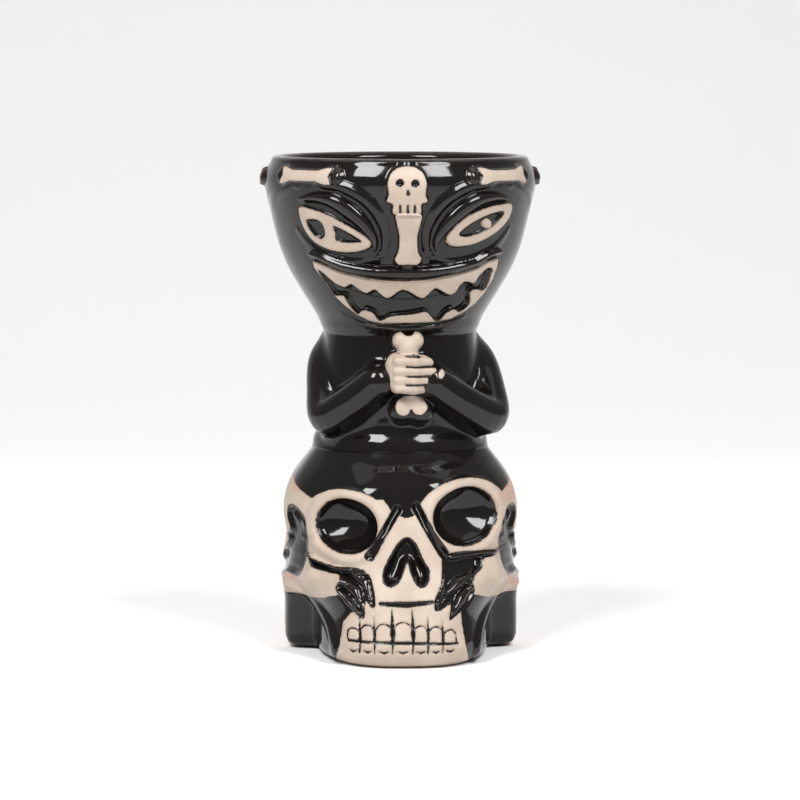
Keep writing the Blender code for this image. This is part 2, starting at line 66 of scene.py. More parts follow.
def smooth_rows(position, stations):
    """Smooth reading of (position, value, value...) rows, one value column after another."""
    table = np.array(stations, float)
    knots, values = table[:, 0], table[:, 1:]
    slopes = np.gradient(values, knots, axis=0)
    position = np.asarray(position, float)
    low = np.clip(np.searchsorted(knots, position) - 1, 0, len(knots) - 2)
    span = (knots[low + 1] - knots[low])[..., None]
    t = np.clip((position - knots[low])[..., None] / span, 0, 1)
    rise = t * t * (3 - 2 * t)
    out = values[low] * (1 - rise) + values[low + 1] * rise
    out += span * t * (1 - t) * ((1 - t) * slopes[low] - t * slopes[low + 1])
    return np.moveaxis(out, -1, 0)


def ease(low, high, value):
    """0 below low, 1 above high, smooth between them."""
    t = np.clip((value - low) / (high - low), 0, 1)
    return t * t * (3 - 2 * t)


def smooth_max(a, b, blend):
    share = np.clip(0.5 + 0.5 * (a - b) / blend, 0, 1)
    return b + (a - b) * share + blend * share * (1 - share)


def smooth_min(a, b, blend):
    return -smooth_max(-a, -b, blend)


def stroke(x, z, *points):
    """Signed distance to a brush stroke through (x, z, half width) points, negative inside."""
    nearest = np.full(np.shape(x), np.inf)
    for (ax, az, ar), (bx, bz, br) in zip(points, points[1:]):
        dx, dz = bx - ax, bz - az
        t = np.clip(((x - ax) * dx + (z - az) * dz) / (dx * dx + dz * dz), 0, 1)
        nearest = np.minimum(nearest, np.hypot(x - ax - t * dx, z - az - t * dz) - ar - (br - ar) * t)
    return nearest


def dot(x, z, cx, cz, radius):
    return np.hypot(x - cx, z - cz) - radius


def oval(x, z, cx, cz, rx, rz, tilt=0.0):
    """Rough signed distance to an ellipse tilted anticlockwise by an angle in degrees."""
    c, s = math.cos(math.radians(tilt)), math.sin(math.radians(tilt))
    u, v = (x - cx) * c + (z - cz) * s, (z - cz) * c - (x - cx) * s
    reach = np.hypot(u / rx, v / rz)
    slope = np.hypot(u / rx**2, v / rz**2) / np.maximum(reach, 1e-6)
    return (reach - 1) / np.maximum(slope, 1 / max(rx, rz))


def between(a, b, c, d, t):
    """The point a share t of the way from b to c on the smooth curve through a, b, c and d."""
    return 0.5 * (2 * b + (c - a) * t + (2 * a - 5 * b + 4 * c - d) * t**2 + (3 * b - a - 3 * c + d) * t**3)


def rounded(points, steps=4):
    """A closed curve through the points, as a finer outline."""
    p = np.array(points, float)
    before, after, far = np.roll(p, 1, 0), np.roll(p, -1, 0), np.roll(p, -2, 0)
    return np.stack([between(before, p, after, far, k / steps) for k in range(steps)], 1).reshape(-1, 2)


def flowing(points, steps=4):
    """An open run of stroke points made finer and rounder, ends kept."""
    p = np.array(points, float)
    padded = np.concatenate([2 * p[:1] - p[1:2], p, 2 * p[-1:] - p[-2:-1]])
    out = []
    for a, b, c, d in zip(padded, padded[1:], padded[2:], padded[3:]):
        out.extend(between(a, b, c, d, t) for t in np.arange(steps) / steps)
    return out + [p[-1]]


def outline(x, z, points):
    """Signed distance to a closed outline, negative inside."""
    nearest = np.full(np.shape(x), np.inf)
    inside = np.zeros(np.shape(x), bool)
    for (ax, az), (bx, bz) in zip(points, np.roll(points, -1, 0)):
        dx, dz = bx - ax, bz - az
        t = np.clip(((x - ax) * dx + (z - az) * dz) / max(dx * dx + dz * dz, 1e-9), 0, 1)
        nearest = np.minimum(nearest, np.hypot(x - ax - t * dx, z - az - t * dz))
        if dz:
            inside ^= ((az > z) != (bz > z)) & (x < ax + (z - az) * dx / dz)
    return np.where(inside, -nearest, nearest)


def ledge(distance, width):
    """1 well inside an outline, 0 outside it, with a soft edge of that width inside."""
    return ease(0, width, -distance)


def dome(distance, width):
    """A round-shouldered swelling that starts at an outline's edge."""
    t = np.clip(-distance / width, 0, 1)
    return np.sqrt(t * (2 - t))


# The reliefs of the cup and the skull, each as (rise, spread outside its outline, width of its shoulder).
RELIEF = {
    "eye_hollow": (-1.5, 0.0, 4.0),
    "cheek": (0.6, 0.0, 5.0),
    "brow": (1.2, 0.9, 3.0),
    "brow_groove": (-0.8, 0.6, 1.5),
    "eye_ring": (0.6, 0.8, 2.6),
    "eyelid": (3.3, 0.0, 2.6),
    "eye": (2.7, 0.7, 1.1),
    "eye_hole": (-1.3, 0.1, 0.9),
    "pupil": (1.1, 0.3, 0.8),
    "nose_bone": (3.4, 0.9, 1.3),
    "nose_tip": (2.6, 0.0, 2.6),
    "forehead": (2.9, 1.0, 1.3),
    "forehead_eyes": (-1.0, 0.1, 0.7),
    "forehead_lines": (-0.5, 0.3, 0.5),
    "gums": (2.3, 0.5, 1.2),
    "mouth": (-2.9, 0.1, 1.1),
    "upper_lip": (4.0, 0.3, 2.9),
    "chin": (1.4, 0.0, 1.2),
    "rim_bone": (1.9, 0.8, 1.0),
    "glazed_knob": (2.0, 0.0, 2.2),
    "socket": (-1.6, 0.3, 1.2),
    "nose_hole": (-3.2, 0.2, 2.8),
    "bridge": (-1.4, 0.3, 1.6),
    "cheek_hollow": (-2.0, 0.4, 2.4),
    "jaw_ridge": (1.7, 1.2, 2.0),
    "gum_line": (-0.9, 0.2, 1.1),
    "teeth": (-0.6, 0.25, 0.6),
    "temple_hollow": (-1.5, 0.0, 2.4),
    "temple_bump": (1.3, 0.0, 2.0),
    "cheekbone": (1.3, 1.2, 4.4),
}


def raised(distance, relief):
    """A relief that is flat within its shoulder, or a hollow where its rise is negative."""
    rise, spread, shoulder = RELIEF[relief]
    return rise * ledge(distance - spread, shoulder)


def swollen(distance, relief):
    """The same with a round top."""
    rise, spread, shoulder = RELIEF[relief]
    return rise * dome(distance - spread, shoulder)


def least(fields):
    """The smallest of several values at each point."""
    return np.minimum.reduce(list(fields))


def squircle(half_width, half_depth, power, angle):
    across, forward = np.abs(np.sin(angle)) / half_width, np.abs(np.cos(angle)) / half_depth
    return (across**power + forward**power) ** (-1 / power)


# ---- the head cup

CUP_PROFILE = [
    (102.0, 24.9, 23.2), (104.4, 24.9, 23.2), (107.0, 25.9, 24.9), (109.5, 26.9, 26.2), (112.3, 28.5, 28.2),
    (119.0, 32.7, 32.2), (125.5, 36.4, 35.8), (132.0, 39.2, 38.9), (139.0, 41.2, 41.8), (145.5, 42.7, 44.1),
    (150.0, 43.8, 45.3), (153.4, 44.5, 46.0), (156.0, 44.5, 46.0), (157.6, 44.1, 45.6), (159.4, 43.3, 44.8),
    (161.0, 42.5, 44.0), (164.0, 41.8, 43.3),
]
FACE_EDGE = [
    (30.0, 152.5), (37.5, 146.6), (39.2, 138.2), (36.2, 126.2), (30.6, 116.6), (23.0, 106.4), (13.0, 103.4),
    (0.0, 102.6),
]
FACE_OUTLINE = np.array(FACE_EDGE + [(-x, z) for x, z in reversed(FACE_EDGE[:-1])])

# Outlines on the face as (x, z), each from its outer end.
LEFT_EYE = rounded([
    (33.6, 147.9), (30.0, 148.0), (25.6, 147.2), (19.4, 144.6), (15.2, 141.2), (12.5, 137.4), (14.2, 135.0),
    (19.4, 134.9), (24.6, 136.6), (29.4, 139.6), (32.8, 143.6),
])
RIGHT_EYE = rounded([
    (-32.6, 147.0), (-29.0, 146.6), (-24.2, 145.0), (-18.4, 141.9), (-12.0, 137.8), (-10.7, 135.2),
    (-13.6, 133.4), (-18.8, 132.8), (-24.2, 133.8), (-28.6, 136.6), (-31.6, 141.6),
])
LEFT_EYE_HOLE = rounded([
    (30.8, 145.6), (27.2, 145.4), (23.2, 143.9), (19.2, 141.6), (16.4, 139.0), (18.0, 137.8), (22.6, 138.7),
    (27.8, 141.6),
])
RIGHT_EYE_HOLES = [
    rounded([(-30.2, 143.0), (-27.2, 143.4), (-25.2, 141.8), (-24.4, 138.4), (-26.0, 137.0), (-28.6, 139.2)]),
    rounded([(-22.0, 141.4), (-18.4, 139.9), (-13.4, 136.5), (-17.4, 136.0), (-21.0, 136.6), (-21.4, 139.0)]),
]
MOUTH_MIDDLE_Z, MOUTH_CURVE = 117.4, 0.0105
FOREHEAD_SKULL = rounded([
    (0.2, 160.9), (4.4, 159.4), (6.1, 155.8), (5.8, 151.8), (6.4, 149.6), (4.5, 148.6), (4.3, 145.6),
    (0.2, 145.0), (-3.9, 145.6), (-4.1, 148.6), (-6.0, 149.6), (-5.4, 151.8), (-5.7, 155.8), (-4.0, 159.4),
])
NOSE_BONE = rounded([
    (0.8, 145.8), (4.6, 145.3), (4.4, 142.6), (3.5, 138.4), (3.7, 133.4), (4.8, 130.8), (3.6, 129.0),
    (0.8, 129.0), (-2.0, 129.0), (-3.2, 130.8), (-2.2, 133.4), (-2.0, 138.4), (-2.9, 142.6), (-3.0, 145.3),
])
MOUTH_TOP = [
    (-28.6, 129.8), (-26.0, 128.9), (-19.6, 126.2), (-11.5, 124.3), (-6.7, 123.7), (-0.2, 123.4),
    (6.3, 123.8), (12.8, 124.8), (17.6, 125.9), (22.5, 127.3), (26.0, 129.4), (29.9, 130.5),
]
MOUTH_BOTTOM = [
    (29.4, 127.1), (28.0, 122.9), (25.7, 118.8), (22.5, 115.0), (19.2, 112.4), (14.8, 110.2), (9.4, 109.3),
    (0.0, 109.2), (-6.7, 109.0), (-10.8, 109.8), (-14.6, 111.8), (-18.4, 114.8), (-21.8, 118.2),
    (-25.4, 123.4), (-27.9, 127.2),
]
MOUTH_HOLE = rounded([
    (-26.2, 126.8), (-21.2, 122.6), (-18.0, 121.2), (-16.2, 122.3), (-12.8, 119.9), (-11.2, 119.5),
    (-9.0, 120.6), (-6.7, 118.6), (-4.7, 117.9), (-0.6, 120.7), (3.7, 118.5), (6.0, 117.9), (9.2, 121.0),
    (11.5, 119.9), (13.9, 118.7), (15.7, 119.6), (17.0, 121.9), (18.9, 123.0), (21.6, 122.3), (23.1, 124.8),
    (26.0, 127.3), (27.4, 126.5), (26.7, 124.0), (24.9, 119.5), (22.5, 120.1), (20.4, 119.2), (20.1, 115.1),
    (17.0, 112.5), (15.3, 113.6), (12.7, 112.2), (11.0, 109.9), (9.4, 109.9), (8.0, 111.7), (6.4, 113.0),
    (2.4, 112.2), (-4.1, 111.5), (-7.1, 109.9), (-9.3, 112.5), (-12.3, 113.5), (-13.8, 112.1),
    (-16.4, 114.8), (-18.3, 118.1), (-21.2, 118.3), (-24.2, 122.4),
], 3)
LIP_RIDGE = flowing([(x, z + 1.9, 2.6 - 0.05 * abs(x)) for x, z in MOUTH_TOP], 2)
LIPS = np.array(MOUTH_TOP + MOUTH_BOTTOM)

LID = flowing([
    (32.6, 149.6, 0.9), (28.4, 150.4, 1.7), (23.2, 149.6, 2.3), (17.6, 146.2, 2.5), (12.8, 141.6, 2.2),
    (9.9, 136.8, 1.5), (9.6, 133.6, 0.7),
])
BROW = flowing([
    (34.0, 153.4, 0.6), (28.0, 155.0, 1.5), (21.0, 154.4, 2.0), (14.4, 151.4, 2.1), (9.6, 146.4, 1.9),
    (7.0, 140.4, 1.6), (6.7, 134.6, 1.3), (8.6, 130.6, 0.8),
])
BROW_GROOVE = flowing([
    (33.0, 152.0, 0.3), (26.0, 153.0, 0.5), (19.0, 150.9, 0.6), (12.6, 146.4, 0.6), (8.6, 140.2, 0.5),
    (7.9, 134.0, 0.3),
])
EYE_RING = flowing([
    (8.8, 131.6, 0.7), (12.6, 129.9, 1.2), (18.6, 129.8, 1.5), (24.6, 131.4, 1.5), (30.0, 134.8, 1.3),
    (34.2, 140.0, 0.7),
])
CHIN_FOLD = [(-20, 112.0, 0.4), (-12, 108.2, 0.9), (0, 106.8, 1.1), (12, 107.8, 0.9), (20, 110.9, 0.4)]

# Round marks as (x, z, radius), and hollows and swellings as ovals (x, z, half width, half height, tilt).
PUPIL = (25.4, 142.1, 1.65)
NOSE_TIP = (0.8, 127.6, 2.6)
EYE_HOLLOW = (21.5, 140.8, 14.5, 9.6, 27.0)
CHEEK = (20.0, 129.0, 13.0, 4.5, 20.0)

# The forehead skull's own face.
FOREHEAD_EYES = [(-2.0, 155.6, 1.25), (2.6, 155.4, 1.25)]
FOREHEAD_NOSE = [(0.4, 153.2, 0.25), (0.5, 152.0, 0.6)]
FOREHEAD_TEETH = [[(x, 148.2, 0.3), (x + 0.1, 146.2, 0.42)] for x in (-1.9, 0.4, 2.5)]

# (place, degrees from the front, half length in degrees, height of its centre)
RIM_BONES = [("front", 45.0, 14.0, 157.4), ("side", 101.0, 11.4, 156.2), ("back", 162.0, 12.4, 155.6)]
SIDES = [("right", -1), ("left", 1)]
BONE_KNOB, BONE_SHAFT, BONE_NOTCH = 2.7, 1.75, 0.9
RIM_RADIUS = 45.5
KNOB_GAP = 2.4  # degrees from a rim bone's end to the glazed knob beyond it
KNOB_RADIUS = 2.3

# The face stands out of a shallow valley, which has a low fold along its outer side.
FACE_SWELL = 0.5
VALLEY_DEPTH, VALLEY_WIDTH = 2.0, 2.8
FOLD_RISE, FOLD_PLACE, FOLD_WIDTH = 1.0, 4.4, 2.6


def across_front(angle, radius):
    """How far each point lies to the figure's left, with the points of the mug's back sent out of reach."""
    return np.where(np.cos(angle) > 0, radius * np.sin(angle), BEYOND * np.sign(np.sin(angle)))


def cup_base(angle, z):
    half_width, half_depth = smooth_rows(z, CUP_PROFILE)
    return squircle(half_width, half_depth, 2.0, angle)


def turned(angle, degrees):
    """The angle from a direction given in degrees, between half a turn back and half a turn on."""
    return (angle - math.radians(degrees) + math.pi) % (2 * math.pi) - math.pi


def rim_bone(angle, z, centre, half, height):
    """Signed distance to a rim bone's pale top, as a flared bar along the rim."""
    along = np.abs(turned(angle, centre)) * RIM_RADIUS
    reach = math.radians(half) * RIM_RADIUS
    up = z - height
    half_height = BONE_SHAFT + (BONE_KNOB - BONE_SHAFT) * ease(0.45, 0.92, along / reach)
    notch = BONE_NOTCH * np.exp(-((up / 1.2) ** 2))
    return np.maximum(np.abs(up) - half_height, along - reach + notch)


def cup_features(angle, z):
    """Distances from each point of the cup to its reliefs, negative inside them."""
    base = cup_base(angle, z)
    x = across_front(angle, base)
    side = np.abs(x)
    f = {"x": x, "z": z, "base": base}
    f["right_eye"] = outline(x, z, RIGHT_EYE)
    f["left_eye"] = outline(x, z, LEFT_EYE)
    f["eye_holes"] = least(outline(x, z, hole) for hole in (*RIGHT_EYE_HOLES, LEFT_EYE_HOLE))
    f["pupil"] = dot(x, z, *PUPIL)
    f["lid"] = stroke(side, z, *LID)
    f["brow"] = stroke(side, z, *BROW)
    f["groove"] = stroke(side, z, *BROW_GROOVE)
    f["ring"] = stroke(side, z, *EYE_RING)
    f["edge"] = stroke(side, z, *[(*point, 0.0) for point in FACE_EDGE])
    f["forehead"] = outline(x, z, FOREHEAD_SKULL)
    f["forehead_eyes"] = least(dot(x, z, *eye) for eye in FOREHEAD_EYES)
    f["forehead_lines"] = least(stroke(x, z, *line) for line in (FOREHEAD_NOSE, *FOREHEAD_TEETH))
    f["nose"] = outline(x, z, NOSE_BONE)
    f["nose_tip"] = dot(x, z, *NOSE_TIP)
    f["lips"] = outline(x, z, LIPS)
    f["mouth"] = outline(x, z, MOUTH_HOLE)
    f["upper_lip"] = stroke(x, z, *LIP_RIDGE)
    f["chin"] = stroke(x, z, *CHIN_FOLD)
    for where, centre, half, height in RIM_BONES:
        for word, sign in SIDES:
            f[f"{where}_{word}"] = rim_bone(angle, z, sign * centre, half, height)
    f["bones"] = least(f[f"{where}_{word}"] for where, *_ in RIM_BONES for word, _ in SIDES)
    return f


def cup_surface(angle, z):
    """Radius of the cup's outside, how far each point is inside bare clay, and its distances to reliefs."""
    f = cup_features(angle, z)
    side = np.abs(f["x"])
    front = ease(-0.1, 0.35, np.cos(angle))
    face = ease(-1.5, 2.5, -outline(f["x"], z, FACE_OUTLINE))
    fold = FOLD_RISE * np.exp(-(((f["edge"] - FOLD_PLACE) / FOLD_WIDTH) ** 2)) * (1 - face)
    height = front * (FACE_SWELL * face - VALLEY_DEPTH * np.exp(-((f["edge"] / VALLEY_WIDTH) ** 2)) + fold)
    height += raised(oval(side, z, *EYE_HOLLOW), "eye_hollow")
    height += raised(oval(side, z, *CHEEK), "cheek")
    height += raised(f["brow"], "brow")
    height += raised(f["groove"], "brow_groove")
    height += raised(f["ring"], "eye_ring")
    height = smooth_max(height, swollen(f["lid"], "eyelid") - 0.6, 0.9)

    almond = np.minimum(f["right_eye"], f["left_eye"])
    eye = raised(almond, "eye") + raised(f["eye_holes"], "eye_hole")
    eye += raised(f["pupil"], "pupil")
    height = smooth_max(height, np.where(almond < 0.8, eye - 0.4, -NOWHERE), 0.4)

    height = smooth_max(height, raised(f["nose"], "nose_bone"), 0.5)
    height = smooth_max(height, swollen(f["nose_tip"], "nose_tip") - 0.2, 0.5)
    badge = raised(f["forehead"], "forehead")
    badge += raised(f["forehead_eyes"], "forehead_eyes")
    badge += raised(f["forehead_lines"], "forehead_lines")
    height = smooth_max(height, badge, 0.4)

    mouth = raised(f["lips"], "gums") + raised(f["mouth"], "mouth")
    height = np.where(f["lips"] < 0.6, mouth, height)
    height = smooth_max(height, swollen(f["upper_lip"], "upper_lip") - 0.4, 0.6)
    height = smooth_max(height, swollen(f["chin"], "chin"), 0.5)

    height = smooth_max(height, raised(f["bones"], "rim_bone"), 0.4)
    for _, centre, half, level in RIM_BONES:
        for _, sign in SIDES:
            for end in (-1, 1):
                along = turned(angle, sign * centre + end * (half + KNOB_GAP)) * RIM_RADIUS
                knob = np.hypot(along, (z - level) * 0.8) - KNOB_RADIUS
                height = smooth_max(height, swollen(knob, "glazed_knob"), 0.5)

    clay = np.maximum.reduce([
        np.minimum(-almond, np.maximum(f["eye_holes"], -f["pupil"])),
        np.minimum(-f["lips"], f["mouth"]),
        -f["nose"],
        np.minimum(-f["forehead"], np.minimum(f["forehead_eyes"], f["forehead_lines"])),
        -f["bones"],
    ])
    rim = ease(RIM_Z - 2.6, RIM_Z, z)
    return f["base"] + height * (1 - rim), clay, f


# ---- torso, arms, hand and bone

TORSO_PROFILE = [
    (64.0, 30.2, 28.2), (66.4, 29.3, 27.3), (68.6, 29.0, 27.0), (70.2, 28.6, 26.5), (72.4, 27.4, 25.3),
    (77.0, 26.9, 24.8), (85.0, 26.8, 24.9), (95.0, 26.2, 24.2), (102.0, 25.1, 23.4), (104.4, 24.9, 23.2),
    (107.0, 24.8, 23.1),
]

# Limbs, palm and bone as rows of (x, y, z, radius), the arms from shoulder to wrist.
RIGHT_ARM = flowing([
    (-22.6, 6.4, 99.6, 4.6), (-24.4, 1.8, 93.8, 6.2), (-24.9, -6.0, 85.6, 6.3), (-23.9, -14.2, 78.0, 6.7),
    (-17.8, -21.0, 81.8, 6.2), (-8.6, -26.0, 89.8, 5.8),
], 5)
LEFT_ARM = flowing([
    (23.2, 6.4, 99.6, 4.6), (26.0, 1.8, 93.8, 6.2), (28.2, -6.0, 85.6, 6.4), (28.2, -14.0, 78.0, 6.9),
    (20.4, -21.2, 82.0, 6.3), (9.8, -26.0, 89.6, 5.8),
], 5)
PALM = [(-2.4, -27.4, 95.6, 3.6), (-2.2, -28.0, 89.8, 3.3)]
BONE_UPPER = [(1.5, -26.2, 95.0, 3.6), (1.5, -26.0, 101.4, 3.3)]
BONE_LOWER = [(2.4, -25.6, 88.0, 3.0), (2.4, -25.8, 83.6, 3.4)]
UPPER_KNOBS = [(-0.6, -25.4, 103.4, 3.0), (3.7, -25.4, 103.4, 3.0)]
LOWER_KNOBS = [(-0.4, -25.8, 80.6, 4.6), (5.4, -25.8, 80.2, 4.6)]
FINGERS = [(96.9, 8.2, 1.6), (93.7, 9.2, 1.6), (90.7, 8.6, 1.55), (88.1, 6.2, 1.4)]  # height, reach, radius
FINGER_ROOT, FINGER_MIDDLE, FINGER_TIP_Y = (-2.0, -30.6), (3.4, -32.0), -29.4
FINGER_SWELL, FINGER_DROP = 0.2, 0.3
FINGER_BLEND, UPPER_BLEND, LOWER_BLEND = 0.5, 0.9, 1.2
FINGER_LINES = [(98.7, 5.0), (95.3, 10.0), (92.2, 9.6), (89.4, 9.0)]  # height and reach of the black lines
FINGER_LINE_X = 0.7
BONE_FOOT_CLAY = rounded([
    (2.4, 85.6), (6.0, 84.6), (7.6, 81.8), (6.0, 79.6), (3.6, 79.8), (2.4, 81.4), (1.2, 79.6), (-1.4, 79.4),
    (-2.8, 81.8), (-1.2, 84.6),
])
BONE_TOP_MARK = (1.5, 107.3, 2.3)
# A painted highlight: a pale clay-coloured spot on the black glaze by the fingertips, as (x, z, half width,
# half height, tilt).
PAINTED_HIGHLIGHT_SPOT = (12.2, 92.8, 1.0, 1.5, -15.0)
HAND_MARGIN, BONE_MARGIN, FOOT_OVERLAP = 0.25, 0.2, 0.4
BONE_MIDDLE_Z = 90.0
ARM_BLEND, BONE_BLEND, HAND_BLEND = 4.0, 0.9, 0.7
FAR_OUT = 41.0  # a radius outside everything on the torso
SEARCH_STEPS, SEARCH_SHARE = 34, 0.88


def softened(field):
    """A grid of values, each averaged with its neighbours."""
    middle = (field[:, :-2] + field[:, 2:] + 2 * field[:, 1:-1]) / 4
    across = np.concatenate([field[:, :1], middle, field[:, -1:]], 1)
    return np.concatenate([across[:1], (across[:-2] + across[2:] + 2 * across[1:-1]) / 4, across[-1:]])


def ball(p, x, y, z, radius):
    return np.sqrt((p[0] - x) ** 2 + (p[1] - y) ** 2 + (p[2] - z) ** 2) - radius


def softly(a, b):
    return smooth_min(a, b, 0.8)


def limb(p, rows, join=softly):
    """Distance to a chain of balls joined by tapering limbs."""
    gaps = []
    for (*a, ra), (*b, rb) in zip(rows, rows[1:]):
        step = [bi - ai for ai, bi in zip(a, b)]
        t = np.clip(sum((pi - ai) * s for pi, ai, s in zip(p, a, step)) / sum(s * s for s in step), 0, 1)
        gap = np.sqrt(sum((pi - ai - t * s) ** 2 for pi, ai, s in zip(p, a, step)))
        gaps.append(gap - ra - (rb - ra) * t)
    return reduce(join, gaps)


def torso_parts(angle, z, radius):
    """Distance from points at a radius to each piece of the middle of the mug."""
    p = (radius * np.sin(angle), -radius * np.cos(angle), z)
    palm = limb(p, PALM)
    for level, reach, thick in FINGERS:
        finger = [
            (*FINGER_ROOT, level, thick + FINGER_SWELL), (*FINGER_MIDDLE, level, thick + FINGER_SWELL),
            (reach, FINGER_TIP_Y, level - FINGER_DROP, thick),
        ]
        palm = smooth_min(palm, limb(p, finger), FINGER_BLEND)
    top, foot = limb(p, BONE_UPPER), limb(p, BONE_LOWER)
    for knob in UPPER_KNOBS:
        top = smooth_min(top, ball(p, *knob), UPPER_BLEND)
    for knob in LOWER_KNOBS:
        foot = smooth_min(foot, ball(p, *knob), LOWER_BLEND)
    return {
        "torso": radius - squircle(*smooth_rows(z, TORSO_PROFILE), 2.0, angle),
        "right_arm": limb(p, RIGHT_ARM, np.minimum),
        "left_arm": limb(p, LEFT_ARM, np.minimum),
        "gripping_hand": palm,
        "held_bone": np.minimum(top, foot),
    }


def torso_whole(parts):
    body = smooth_min(parts["torso"], parts["right_arm"], ARM_BLEND)
    body = smooth_min(body, parts["left_arm"], ARM_BLEND)
    body = smooth_min(body, parts["held_bone"], BONE_BLEND)
    return smooth_min(body, parts["gripping_hand"], HAND_BLEND)


def torso_surface(angle, z):
    """Radius of the torso with all that is on it: a ray for each point is followed inwards to the surface."""
    radius = np.full(angle.shape, FAR_OUT)
    for _ in range(SEARCH_STEPS):
        gap = torso_whole(torso_parts(angle, z, radius))
        radius = radius - np.clip(gap, -0.5, 5.0) * SEARCH_SHARE
    radius = softened(softened(radius))
    parts = torso_parts(angle, z, radius)
    x = radius * np.sin(angle)
    nearest, second = np.sort(np.stack(list(parts.values())), 0)[:2]
    regions = {name: gap - np.where(gap <= nearest, second, nearest) for name, gap in parts.items()}
    lines = least(
        stroke(x, z, (FINGER_LINE_X, level, 0.3), (reach, level - 0.1, 0.42)) for level, reach in FINGER_LINES
    )
    hand = np.minimum(-regions["gripping_hand"] - HAND_MARGIN, lines)
    bone = -regions["held_bone"] - BONE_MARGIN
    bone_top = np.minimum(bone, dot(x, z, *BONE_TOP_MARK))
    bone_foot = np.minimum(-outline(x, z, BONE_FOOT_CLAY), bone + FOOT_OVERLAP)
    held = np.where(z > BONE_MIDDLE_Z, bone_top, bone_foot)
    # Painted highlight: a pale clay-coloured spot set into the black glaze by the fingertips.
    painted_highlight = np.where(np.cos(angle) > 0, -oval(x, z, *PAINTED_HIGHLIGHT_SPOT), -NOWHERE)
    return radius, np.maximum.reduce([hand, held, painted_highlight]), regions


# ---- the skull

# Rows of (height, half width, depth behind the axis, reach of the jaw corners forwards, their squareness,
# half width of the face, its reach forwards, its squareness).
SKULL_PROFILE = [
    (0.0, 35.5, 17.4, 11.5, 3.6, 26.0, 53.5, 2.7),
    (1.0, 37.0, 19.6, 12.8, 6.5, 27.6, 55.4, 2.7),
    (3.2, 38.3, 22.0, 13.6, 6.5, 28.8, 57.2, 2.8),
    (6.6, 38.6, 24.4, 14.2, 6.5, 29.2, 57.9, 2.8),
    (11.0, 38.6, 26.2, 14.8, 6.5, 29.2, 56.8, 2.7),
    (16.5, 38.7, 27.9, 16.4, 5.0, 30.0, 54.6, 2.6),
    (21.5, 39.4, 29.6, 20.0, 2.9, 33.6, 52.4, 2.4),
    (26.4, 39.9, 31.2, 25.5, 2.4, 38.0, 49.8, 2.2),
    (31.5, 38.9, 32.7, 30.0, 2.2, 38.2, 46.8, 2.1),
    (38.0, 38.0, 33.6, 34.0, 2.1, 37.8, 43.9, 2.05),
    (45.0, 38.9, 33.5, 36.0, 2.0, 38.7, 41.4, 2.0),
    (51.0, 38.2, 32.3, 35.0, 2.0, 38.0, 39.0, 2.0),
    (56.5, 36.2, 30.2, 33.0, 2.0, 36.0, 36.5, 2.0),
    (60.6, 33.6, 28.4, 31.0, 2.0, 33.2, 33.2, 2.0),
    (63.6, 31.2, 27.2, 28.8, 2.0, 31.0, 30.2, 2.0),
    (67.0, 28.6, 25.6, 26.4, 2.0, 28.4, 27.4, 2.0),
]
NOSE_HOLE = rounded([
    (0.8, 41.1), (3.6, 38.5), (5.4, 34.3), (7.5, 30.7), (7.3, 27.3), (5.0, 25.3), (2.9, 26.5), (1.3, 29.7),
    (0.3, 32.9), (-0.8, 30.1), (-2.5, 26.9), (-5.2, 25.6), (-7.5, 26.9), (-7.6, 30.1), (-5.6, 34.5),
    (-2.4, 39.5),
])
RIGHT_CHEEK = rounded([
    (-32.4, 34.9), (-28.2, 32.9), (-22.6, 31.3), (-16.8, 31.2), (-12.8, 30.1), (-10.9, 26.3), (-10.2, 20.1),
    (-11.6, 19.3), (-13.3, 21.3), (-13.8, 15.9), (-16.0, 16.9), (-19.6, 19.9), (-22.0, 22.7), (-22.8, 25.1),
    (-21.0, 26.7), (-21.8, 28.6), (-25.8, 29.1), (-29.8, 30.3),
], 3)
LEFT_CHEEK = rounded([
    (34.8, 35.5), (30.0, 35.3), (23.8, 35.7), (18.0, 36.1), (12.2, 34.9), (11.6, 30.9), (11.0, 26.3),
    (9.0, 21.5), (9.1, 18.3), (11.6, 18.6), (14.2, 19.9), (13.6, 15.5), (15.4, 15.9), (20.2, 19.6),
    (22.4, 23.3), (22.0, 25.7), (22.9, 28.2), (25.2, 30.1), (25.6, 32.6), (29.0, 33.5),
], 3)
# Ovals as (x, z, half width, half height).
SOCKETS = [(-18.8, 43.9, 9.8, 8.8), (19.7, 46.7, 10.8, 9.4)]
EYE_RINGS = [(-18.8, 44.4, 14.6, 11.2), (19.4, 46.8, 15.6, 12.0)]

# Brush strokes and ridges as (x, z, half width).
FOLDS = [
    [(-21.0, 26.9, 1.5), (-16.8, 23.9, 1.9), (-14.2, 18.5, 0.7)],
    [(-17.0, 28.5, 1.2), (-13.6, 26.9, 1.6), (-12.0, 21.7, 0.7)],
    [(-21.6, 23.7, 0.8), (-18.6, 20.9, 1.2), (-15.0, 17.1, 0.6)],
    [(-31.6, 34.1, 0.5), (-24.0, 30.9, 0.9), (-13.4, 29.5, 0.9)],
    [(20.6, 27.9, 1.0), (17.6, 26.5, 1.8), (13.0, 23.3, 0.8)],
    [(20.8, 24.3, 1.2), (18.2, 21.3, 1.7), (14.8, 16.9, 0.6)],
    [(12.6, 28.9, 0.9), (12.0, 24.9, 1.3), (10.2, 19.9, 0.6)],
    [(33.6, 34.9, 0.4), (26.0, 34.5, 0.8), (14.6, 34.1, 0.9)],
]
BRIDGE_LINES = [
    [(-2.6, 49.6, 1.5), (-5.0, 45.6, 1.4), (-7.6, 41.2, 1.4), (-11.6, 34.9, 1.6)],
    [(3.6, 50.4, 1.5), (5.6, 46.4, 1.4), (8.2, 41.6, 1.4), (12.2, 35.6, 1.6)],
]
UPPER_GUM_LINE = [(-8.6, 20.6, 0.6), (0.0, 20.4, 1.0), (8.2, 21.0, 0.6)]
JAW_RIDGE = flowing([
    (36.6, 21.6, 0.6), (31.0, 19.0, 0.8), (27.0, 15.6, 0.9), (24.4, 11.0, 0.9), (22.9, 3.0, 0.8),
])

